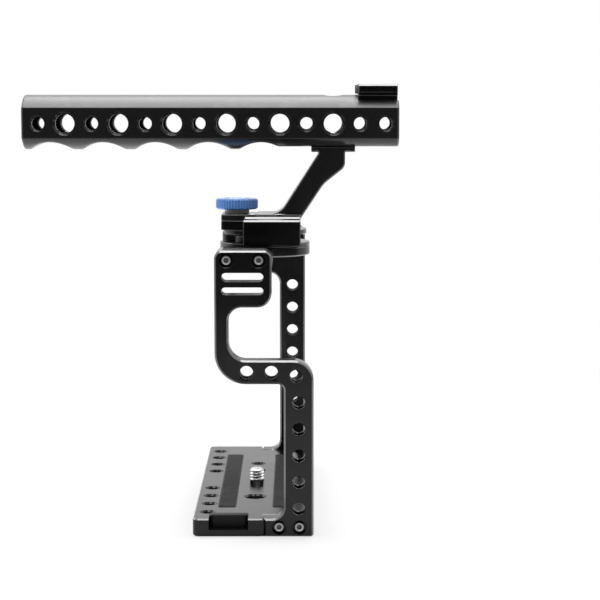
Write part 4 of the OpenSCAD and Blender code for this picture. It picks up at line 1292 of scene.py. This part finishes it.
@dataclass
class SideShoe(SubAssembly):
    """The plate under the handle's foot, with an accessory shoe on its grip side."""
    body: str = "handle"
    x0: float = -14.5
    x1: float = 18.7
    half_w: float = 12.5
    low: float = 115.3
    high: float = 119.3
    corner_r: float = 1.5
    plate_edge: float = 0.35
    block_x0: float = -4.6
    block_x1: float = 18.65
    block_edge: float = 0.4
    bridge_out: float = 0.6
    bridge_in: float = 2.0
    bridge_sink: float = 0.2
    shoe: Shoe = field(default_factory=lambda: Shoe(-25.5, 26.0, 110.9, 121.2, 0.65, mouth_edge=0.7))
    relief_r: float = 17.9
    axis: Point = (3.6, 0.0)
    relief_segments: int = 128
    stud: Point = (-8.2, 0.0)
    stud_r: float = 3.3

    def build(self) -> None:
        """Builds the plate, joins the shoe's block to it and relieves it round the collar."""
        outline = Outline.box(self.x0, -self.half_w, self.x1, self.half_w, self.corner_r)
        made = Draft().slab(outline, self.low, self.high, edge=self.plate_edge,
                            holes=[Hole(Outline.circle(*self.stud, self.stud_r), lip=0.0)])
        made = made.solid("side_shoe_body", BLACK)
        block = Draft().slab(self.shoe.outline(), self.block_x0, self.block_x1, Plane.YZ, self.block_edge,
                             steps=1)
        combine(made, block, Join.ADD)
        bridge = Outline.box(self.block_x0 + self.block_edge, -self.half_w - self.bridge_out,
                             self.block_x1 - self.block_edge, -self.half_w + self.bridge_in)
        bridge = Draft().slab(bridge, self.low + self.bridge_sink, self.high - self.bridge_sink, edge=0.0)
        combine(made, bridge, Join.ADD)
        relief = Outline.box(0.0, self.shoe.low - OVERCUT, self.relief_r, self.low)
        combine(made, Draft().turned(relief, self.axis, segments=self.relief_segments), Join.CUT)
        self.keep(made, "side_shoe", BLACK)


@dataclass
class SlantedArm(SubAssembly):
    """The slanted arm on its foot, with the screws that hold it."""
    body: str = "handle"
    foot_x: Point = (-14.5, 18.7)
    foot_half: float = 12.5
    foot_low: float = 119.3
    foot_high: float = 121.8
    foot_r: float = 1.5
    foot_edge: float = 0.4
    foot_edge_low: float = 0.2
    half_w: float = 7.5
    edge: float = 0.7
    corner_steps: int = 10
    side: tuple[Corner, ...] = (
        (-6.0, 119.5, 0.0), (18.6, 119.5, 0.0), (28.392, 134.3, 14.0), (37.35, 141.4, 4.0),
        (37.35, 147.7, 0.6), (41.55, 147.7, 0.4), (41.55, 150.0, 0.0), (23.15, 150.0, 0.0),
        (23.15, 147.7, 0.4), (26.65, 147.7, 0.6), (9.915, 121.8, 7.3), (-6.0, 121.8, 0.0))
    stud: Point = (-8.2, 0.0)
    stud_r: float = 3.3
    screw_spots: tuple[Point, ...] = ((-1.6, -10.0), (10.0, -10.0), (10.0, 10.0), (-1.6, 10.0))
    screw_head_d: float = 4.7
    screw_d: float = 2.5
    screw_l: float = 10.1
    sink_gap: float = 0.1
    sink_t: float = 1.2
    sink_lip: float = 0.15
    stud_lip: float = 0.2
    arm_screw_x: float = 32.35
    arm_head_z: float = 155.6
    arm_head_d: float = 8.0
    arm_head_t: float = 4.0
    arm_shank_d: float = 5.0
    arm_shank_l: float = 10.6

    def build(self) -> None:
        """Builds the arm and its screws."""
        (x0, x1), half = self.foot_x, self.foot_half
        sink_r = self.screw_head_d / 2 + self.sink_gap
        sinks = [Hole(Outline.circle(x, y, sink_r), self.sink_t, self.sink_lip, True)
                 for x, y in self.screw_spots]
        sinks.append(Hole(Outline.circle(*self.stud, self.stud_r), lip=self.stud_lip, chamfered=True))
        foot = Draft().slab(Outline.box(x0, -half, x1, half, self.foot_r), self.foot_low, self.foot_high,
                            edge=self.foot_edge, edge_low=self.foot_edge_low, holes=sinks)
        foot = foot.solid("handle_arm_body", GREY)
        side = Outline(self.side, self.corner_steps)
        combine(foot, Draft().slab(side, -self.half_w, self.half_w, Plane.XZ, self.edge), Join.ADD)
        self.keep(foot, "handle_arm", GREY)
        draft = Draft()
        for spot in self.screw_spots:
            Screws().sunk_head(draft, spot, self.foot_high, 1.0, self.screw_head_d, self.screw_d,
                               self.screw_l)
        self.keep(draft.solid("foot_screws_body", STEEL, SHADED_SOCKET), "foot_screws", STEEL)
        draft = Screws().cap_head(Draft(), (self.arm_screw_x, 0.0), Plane.XY, self.arm_head_z, 1.0,
                                  self.arm_head_d, self.arm_head_t, self.arm_shank_d, self.arm_shank_l)
        self.keep(draft.solid("arm_screw_body", STEEL, SHADED_SOCKET), "arm_screw", STEEL)
        self.dress("arm_dowel_pins", STEEL)


@dataclass
class HandleBar(SubAssembly):
    """The drilled handle: an arched crest, flat sides and finger scallops below."""
    body: str = "handle"
    x0: float = -97.2
    x1: float = 59.7
    half_w: float = 12.5
    low: float = 148.6
    high: float = 171.5
    side_low: float = 153.4
    side_high: float = 166.1
    side_r: float = 0.7
    side_steps: int = 4
    end_edge: float = 0.8
    station: float = 0.75
    ledge: float = 0.03
    arch_steps: int = 22
    scallops: int = 5
    first_scallop: float = -85.8
    scallop_pitch: float = 22.0
    scallop_r: float = 14.5
    scallop_depth: float = 3.2
    blend: float = 0.4
    seat_x: float = 2.2
    seat_z: float = 150.0
    flat_x: float = 42.5
    flat_z: float = 169.4
    no_roof: float = 5.0
    hole_z: float = 159.6
    hole_pitch: float = 22.3
    large_x: float = -79.15
    large_n: int = 6
    large_r: float = 4.0
    large_bevel: float = 1.0
    small_x: float = -90.3
    small_n: int = 7
    small_r: float = 2.65
    small_bevel: float = 0.8
    last_small_x: float = 54.1
    drill_over: float = 1.5
    drill_segments: int = 56
    thread_pitch: float = 1.4
    thread_depth: float = 0.32
    thread_end: float = 0.6
    arm_x: float = 32.35
    access_r: float = 4.2
    access_low: float = 151.6
    access_over: float = 2.0
    access_segments: int = 64

    def build(self) -> None:
        """Builds the bar and drills it."""
        bar = self._bar().solid("handle_bar_body", CREST)
        small = [self.small_x + k * self.hole_pitch for k in range(self.small_n)] + [self.last_small_x]
        large = [self.large_x + k * self.hole_pitch for k in range(self.large_n)]
        drill = Draft()
        for places, radius, bevel in ((large, self.large_r, self.large_bevel),
                                      (small, self.small_r, self.small_bevel)):
            for x in places:
                drill.turned(self._drill(radius, bevel), (x, self.hole_z), Plane.XZ, self.drill_segments)
        combine(bar, drill, Join.CUT)
        access = Outline.box(0.0, self.access_low, self.access_r, self.high + self.access_over)
        combine(bar, Draft().turned(access, (self.arm_x, 0.0), segments=self.access_segments), Join.CUT)
        self.keep(bar, "handle_bar", CREST)

    def _arch(self, rise: float) -> list[Point]:
        """Points of an arch over the handle's width.

        Args:
            rise: Height of the arch.

        Returns:
            Place across and height over its ends, from +Y to -Y and without the ends.
        """
        radius = (self.half_w ** 2 + rise ** 2) / (2 * rise)
        span = math.asin(self.half_w / radius)
        return [(radius * math.sin(a), radius * math.cos(a) - radius + rise)
                for a in (span * (1 - 2 * k / self.arch_steps) for k in range(1, self.arch_steps))]

    def _section(self) -> Outline:
        """The bar's section, with arched crest and belly between flat sides.

        Returns:
            The outline across Y and Z.
        """
        crest = [(y, self.side_high + h, 0.0) for y, h in self._arch(self.high - self.side_high)]
        belly = [(-y, self.side_low - h, 0.0) for y, h in self._arch(self.side_low - self.low)]
        return Outline([(self.half_w, self.side_low, self.side_r),
                        (self.half_w, self.side_high, self.side_r), *crest,
                        (-self.half_w, self.side_high, self.side_r),
                        (-self.half_w, self.side_low, self.side_r), *belly], self.side_steps)

    def _floor(self, x: float) -> float:
        """Height of the underside where the scallops and the arm's seat cut into it.

        Args:
            x: Place along the bar.

        Returns:
            The lowest height that they leave there.
        """
        floor = self.seat_z if x > self.seat_x else self.low - self.scallop_r
        for k in range(self.scallops):
            off = abs(x - self.first_scallop - k * self.scallop_pitch)
            if off < self.scallop_r:
                crown = self.low + self.scallop_depth - self.scallop_r
                floor = max(floor, crown + math.sqrt(self.scallop_r ** 2 - off ** 2))
        return floor

    def _soft_max(self, first: float, second: float) -> float:
        """The larger of two heights, blended where they meet."""
        share = min(1.0, max(0.0, 0.5 + 0.5 * (first - second) / self.blend))
        return second + (first - second) * share + self.blend * share * (1 - share)

    def _bar(self) -> Draft:
        """The undrilled bar, as rings of its section along X.

        Returns:
            Its draft.
        """
        section = self._section()
        ends = eased(self.end_edge)
        stops = [(i, self.x0 + r) for i, r in ends]
        straight = self.x1 - self.x0 - 2 * self.end_edge
        count = int(straight / self.station)
        inner = {self.x0 + self.end_edge + k * straight / count for k in range(1, count)}
        inner |= {self.seat_x, self.seat_x + self.ledge, self.flat_x, self.flat_x + self.ledge}
        stops += [(0.0, x) for x in sorted(inner)]
        stops += [(i, self.x1 - r) for i, r in reversed(ends)]
        middle = (self.side_low + self.side_high) / 2
        rings = []
        for inset, x in stops:
            floor, roof = self._floor(x), self.flat_z if x > self.flat_x else self.high + self.no_roof
            ring = []
            for y, z in section.ring(inset):
                z = self._soft_max(z, floor + inset) if z < middle else -self._soft_max(-z, inset - roof)
                ring.append(Plane.YZ.place(y, z, x))
            rings.append(ring)
        draft = Draft()
        strips = len(rings) - 1
        rows = draft.wall(rings, {*range(EASE_STEPS), *range(strips - EASE_STEPS, strips)})
        draft.cap([rows[0]])
        draft.cap([rows[-1]])
        # The faces above the flat sides take the lighter edge material: a painted highlight along the crest.
        for face in draft.mesh.faces:
            if face.calc_center_median().z > self.side_high * MM:
                face.material_index = 1
        return draft

    def _drill(self, radius: float, bevel: float) -> Outline:
        """Profile of a cutter for a threaded hole with bevelled mouths.

        Args:
            radius: Radius of the hole.
            bevel: Size of its mouths' bevels.

        Returns:
            The outline of radius and place along the hole.
        """
        inner, outer = self.half_w - bevel, self.half_w + self.drill_over
        turns = int(2 * (inner - self.thread_end) / self.thread_pitch)
        start = -turns * self.thread_pitch / 2
        thread = [(radius + (self.thread_depth if k % 2 else 0.0), start + k * self.thread_pitch / 2, 0.0)
                  for k in range(2 * turns + 1)]
        mouth = radius + bevel + self.drill_over
        return Outline([(0.0, -outer, 0.0), (mouth, -outer, 0.0), (radius, -inner, 0.0), *thread,
                        (radius, inner, 0.0), (mouth, outer, 0.0), (0.0, outer, 0.0)])


@dataclass
class FrontShoe(SubAssembly):
    """The accessory shoe on the handle's front end, with its leaf and screws."""
    body: str = "handle"
    x0: float = 42.7
    x1: float = 59.1
    shoe: Shoe = field(default_factory=lambda: Shoe(0.0, 21.6, 169.4, 176.1, 0.9, groove=0.5, foot_w=16.4,
                                                    undercut=1.7))
    leaf_x: float = 41.7
    leaf_end: float = 58.6
    leaf_z: float = 172.0
    leaf_t: float = 0.5
    leaf_half: float = 6.0
    leaf_edge: float = 0.08
    leaf_r: float = 1.2
    shoulder_r: float = 0.6
    notch_r: float = 0.3
    tab_half: float = 4.5
    tab_top: float = 175.6
    tab_r: float = 0.8
    tab_edge: float = 0.12
    tab_sink: float = 0.01
    shoe_edge: float = 0.3
    hole_gap: float = 0.05
    screw_spots: tuple[Point, ...] = ((47.1, 0.0), (54.7, 0.0))
    screw_head_d: float = 5.4
    screw_d: float = 3.0
    screw_l: float = 7.0

    def build(self) -> None:
        """Builds the shoe, its leaf and its screws."""
        made = Draft().slab(self.shoe.outline(), self.x0, self.x1, Plane.YZ, self.shoe_edge, steps=1)
        made = made.solid("front_shoe_body", BLACK)
        self.keep(made, "top_shoe", BLACK)
        hole_r = self.screw_head_d / 2 + self.hole_gap
        holes = [Hole(Outline.circle(x, y, hole_r), lip=self.hole_gap, chamfered=True)
                 for x, y in self.screw_spots]
        half, tab_half, foot = self.leaf_half, self.tab_half, self.leaf_z + self.tab_sink
        outline = Outline([(self.leaf_x, -tab_half, 0.0), (self.x0, -tab_half, self.notch_r),
                           (self.x0, -half, self.shoulder_r), (self.leaf_end, -half, self.leaf_r),
                           (self.leaf_end, half, self.leaf_r), (self.x0, half, self.shoulder_r),
                           (self.x0, tab_half, self.notch_r), (self.leaf_x, tab_half, 0.0)])
        leaf = Draft().slab(outline, self.leaf_z, self.leaf_z + self.leaf_t, edge=self.leaf_edge,
                            holes=holes)
        made = leaf.solid("shoe_leaf_body", SPRING)
        outline = Outline([(-tab_half, foot, 0.0), (tab_half, foot, 0.0),
                           (tab_half, self.tab_top, self.tab_r), (-tab_half, self.tab_top, self.tab_r)])
        tab = Draft().slab(outline, self.leaf_x + self.tab_sink / 2, self.leaf_x + self.leaf_t, Plane.YZ,
                           self.tab_edge)
        combine(made, tab, Join.ADD)
        self.keep(made, "top_shoe_spring", SPRING)
        draft = Draft()
        for spot in self.screw_spots:
            Screws().sunk_head(draft, spot, self.leaf_z + self.leaf_t, 1.0, self.screw_head_d, self.screw_d,
                               self.screw_l)
        self.keep(draft.solid("front_shoe_screws_body", STEEL, SHADED_SOCKET), "top_shoe_screws", STEEL)


@dataclass
class LockKnob(SubAssembly):
    """The blue knurled knob with its stud and the washer under it."""
    axis: Point = (-8.2, 0.0)
    rim_r: float = 8.9
    low: float = 123.5
    high: float = 128.0
    face_r: float = 8.1
    bevel: float = 0.55
    face_soft: float = 0.2
    rim_soft: float = 0.25
    dish_r: float = 5.2
    dish_t: float = 0.4
    dish_lip: float = 0.5
    rim_rows: int = 6
    teeth: int = 44
    tooth_h: float = 0.38
    tooth_power: float = 1.6
    tooth_segments: int = 10
    stud_r: float = 3.1
    stud_low: float = 110.1
    stud_high: float = 123.6
    stud_pitch: float = 1.27
    stud_groove: float = 0.45
    stud_core: float = 0.5
    stud_rows: int = 96
    stud_segments: int = 48
    washer_low: float = 121.8
    washer_high: float = 123.2
    washer_r: float = 5.2
    washer_bore: float = 3.35
    washer_soft: tuple[float, ...] = (0.1, 0.2, 0.35, 0.2)

    def build(self) -> None:
        """Builds the knob, the washer and the stud."""
        self._knob()
        low, high, bore, rim = self.washer_low, self.washer_high, self.washer_bore, self.washer_r
        places = ((bore, low), (rim, low), (rim, high), (bore, high))
        ring = Outline([(*spot, soft) for spot, soft in zip(places, self.washer_soft)], EASE_STEPS)
        made = Draft().turned(ring, self.axis).solid("knob_washer_body", NYLON)
        self.keep(made, "knob_washer", NYLON, "knob_follower")
        self._stud()

    def _knob(self) -> None:
        """The knob: straight knurling with eased ends, and a shallow dish in its top."""
        def shape(radius: float, z: float, angle: float) -> float:
            """Cuts a groove between each two teeth, which fades out towards the faces.

            Args:
                radius: Radius of the plain profile.
                z: Height, which changes nothing here.
                angle: Angle round the axis.

            Returns:
                The radius there.
            """
            depth = self.tooth_h * min(1.0, max(0.0, (radius - self.face_r) / (self.rim_r - self.face_r)))
            phase = (angle * self.teeth / math.tau) % 1.0
            return radius - depth * (0.5 + 0.5 * math.cos(math.tau * phase)) ** self.tooth_power

        step = (self.high - self.low - 2 * self.bevel) / self.rim_rows
        rim = [(self.rim_r, self.low + self.bevel + step * k, 0.0) for k in range(1, self.rim_rows)]
        dish = self.high - self.dish_t
        soft = self.face_soft
        profile = Outline([(0.0, self.low, 0.0), (self.face_r, self.low, soft),
                           (self.rim_r, self.low + self.bevel, self.rim_soft), *rim,
                           (self.rim_r, self.high - self.bevel, self.rim_soft),
                           (self.face_r, self.high, soft), (self.dish_r + self.dish_lip, self.high, soft),
                           (self.dish_r, dish, soft), (0.0, dish, 0.0)], EASE_STEPS)
        made = Draft().turned(profile, self.axis, segments=self.teeth * self.tooth_segments, shape=shape)
        self.keep(made.solid("lock_knob_body", BLUE), "lock_knob", BLUE, "knob")

    def _stud(self) -> None:
        """The threaded stud."""
        def shape(radius: float, z: float, angle: float) -> float:
            """Cuts a helix all along.

            Args:
                radius: Radius of the plain profile.
                z: Height.
                angle: Angle round the axis.

            Returns:
                The radius there.
            """
            if radius < self.stud_r - self.stud_core:
                return radius
            turns = (z - self.stud_low) / self.stud_pitch - angle / math.tau
            return radius - self.stud_groove * zigzag(turns)

        rise = (self.stud_high - self.stud_low) / self.stud_rows
        thread = [(self.stud_r, self.stud_low + k * rise, 0.0) for k in range(self.stud_rows + 1)]
        profile = Outline([(0.0, self.stud_low, 0.0), *thread, (0.0, self.stud_high, 0.0)])
        made = Draft().turned(profile, self.axis, segments=self.stud_segments, shape=shape)
        self.keep(made.solid("knob_stud_body", STEEL), "knob_stud", STEEL, "knob")


# Studio

@dataclass(frozen=True)
class Lamp:
    """A soft rectangular lamp that faces its target."""
    name: str
    place: Spot
    target: Spot
    size: Point
    watts: float

    def light(self) -> None:
        """Adds the lamp to the scene, where only its light shows."""
        data = bpy.data.lights.new(self.name, "AREA")
        data.shape, data.energy = "RECTANGLE", self.watts
        data.size, data.size_y = self.size[0] * MM, self.size[1] * MM
        made = bpy.data.objects.new(self.name, data)
        made.location = [value * MM for value in self.place]
        aim = Vector(self.target) - Vector(self.place)
        made.rotation_euler = aim.to_track_quat("-Z", "Y").to_euler()
        made.visible_camera = False
        bpy.context.scene.collection.objects.link(made)


@dataclass
class Studio:
    """Plain pale floor, soft light and the camera at the photograph's angle."""
    floor_r: float = 680.0
    floor_sides: int = 64
    floor_drop: float = 0.15
    floor_colour: Colour = (0.62, 0.62, 0.62)
    floor_glow: float = 0.6
    glow_from: float = 140.0
    glow_to: float = 420.0
    back_level: float = 1.0
    front_level: float = 0.03
    fill_level: float = 0.25
    height_share: float = 0.75
    dim_at: float = -0.15
    bright_at: float = 0.5
    mirror_from: float = -0.1
    mirror_to: float = 0.2
    lamps: tuple[Lamp, ...] = (
        Lamp("overhead", (-40.0, 260.0, 900.0), (-40.0, 240.0, 60.0), (620.0, 1100.0), 12.4),
        Lamp("rear_left", (-700.0, 420.0, 420.0), (0.0, 0.0, 110.0), (340.0, 620.0), 2.2),
        Lamp("rear_right", (760.0, 380.0, 460.0), (0.0, 0.0, 110.0), (340.0, 620.0), 2.2))
    lens: float = 109.8
    sensor: float = 36.0
    near: float = 0.01
    far: float = 50.0
    eye: Spot = (17.0, -774.5, 171.5)
    pitch: float = 6.4
    yaw: float = -0.11

    def build(self) -> None:
        """Sets up the floor, the light and the camera."""
        bpy.context.scene.view_settings.view_transform = "Standard"
        self._camera()
        self._floor()
        self._world()
        for lamp in self.lamps:
            lamp.light()
        LOG.info("studio: floor, world, %d lamps and the camera", len(self.lamps))

    def _camera(self) -> None:
        """The camera, level across and pitched down a little."""
        data = bpy.data.cameras.new("photo_view")
        data.lens, data.sensor_width = self.lens, self.sensor
        data.clip_start, data.clip_end = self.near, self.far
        made = bpy.data.objects.new("photo_view", data)
        made.location = [value * MM for value in self.eye]
        made.rotation_euler = (math.radians(90.0 - self.pitch), 0.0, math.radians(self.yaw))
        bpy.context.scene.collection.objects.link(made)
        bpy.context.scene.camera = made

    def _floor(self) -> None:
        """A round pale floor, just under the base plate."""
        draft = Draft()
        turns = (math.tau * k / self.floor_sides for k in range(self.floor_sides))
        ring = [Plane.XY.place(self.floor_r * math.cos(a), self.floor_r * math.sin(a), -self.floor_drop)
                for a in turns]
        draft.mesh.faces.new([draft.mesh.verts.new(p) for p in ring])
        data = bpy.data.meshes.new("floor")
        draft.mesh.to_mesh(data)
        draft.mesh.free()
        made = bpy.data.objects.new("floor", data)
        bpy.context.scene.collection.objects.link(made)
        material = bpy.data.materials.new("pale_floor")
        material.use_nodes = True
        sheet = Sheet(material.node_tree)
        matt = sheet.node("ShaderNodeBsdfDiffuse", {}, {"Color": rgba(self.floor_colour)}).out(0)
        glow = sheet.node("ShaderNodeEmission", {}, {"Color": WHITE, "Strength": 1.0}).out(0)
        place = sheet.node("ShaderNodeTexCoord").out("Object")
        away = sheet.node("ShaderNodeVectorMath", {"operation": "LENGTH"}, {0: place}).out("Value")
        depth = sheet.node("ShaderNodeSeparateXYZ", {}, {0: place}).out("Y")
        far = sheet.spread(away, self.glow_from * MM, self.glow_to * MM, 0.0, 1.0)
        behind = sheet.spread(depth, 0.0, self.glow_from * MM, 0.0, 1.0)
        ray = sheet.node("ShaderNodeLightPath")
        seen = ray.out("Is Camera Ray") * (far * (1.0 - self.floor_glow) + self.floor_glow)
        mirrored = (ray.out("Is Glossy Ray") + ray.out("Is Transmission Ray")) * far * behind
        both = sheet.node("ShaderNodeMixShader", {}, {0: seen + mirrored, 1: matt, 2: glow}).out(0)
        sheet.node("ShaderNodeOutputMaterial", {}, {"Surface": both})
        data.materials.append(material)

    def _world(self) -> None:
        """White to the camera; for light, bright above and behind and dim on the viewer's side."""
        world = bpy.data.worlds.new("studio")
        bpy.context.scene.world = world
        world.use_nodes = True
        sheet = Sheet(world.node_tree)
        toward = sheet.node("ShaderNodeTexCoord").out("Generated")
        parts = sheet.node("ShaderNodeSeparateXYZ", {}, {0: toward})
        aim = parts.out("Y") + parts.out("Z") * self.height_share
        level = sheet.spread(aim, self.dim_at, self.bright_at, self.front_level, self.back_level)
        ray = sheet.node("ShaderNodeLightPath")
        level = level + ray.out("Is Diffuse Ray") * self.fill_level
        light = sheet.node("ShaderNodeBackground", {}, {"Color": WHITE, "Strength": level}).out(0)
        white = sheet.node("ShaderNodeBackground", {}, {"Color": WHITE, "Strength": 1.0}).out(0)
        bright = sheet.spread(aim, self.mirror_from, self.mirror_to, 0.0, 1.0)
        mirrored = (ray.out("Is Glossy Ray") + ray.out("Is Transmission Ray")) * bright
        seen = ray.out("Is Camera Ray") + mirrored
        both = sheet.node("ShaderNodeMixShader", {}, {0: seen, 1: light, 2: white}).out(0)
        sheet.node("ShaderNodeOutputWorld", {}, {"Surface": both})


def main() -> None:
    """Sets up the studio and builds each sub-assembly in order."""
    logging.basicConfig(level=logging.INFO, format="%(name)s: %(message)s")
    Studio().build()
    for assembly in (BasePlate(), SideBrackets(), CrossbarHub(), SideShoe(), SlantedArm(), HandleBar(),
                     FrontShoe(), LockKnob()):
        LOG.info("building %s", type(assembly).__name__)
        assembly.build()
    bpy.context.view_layer.update()


if __name__ == "__main__":
    main()
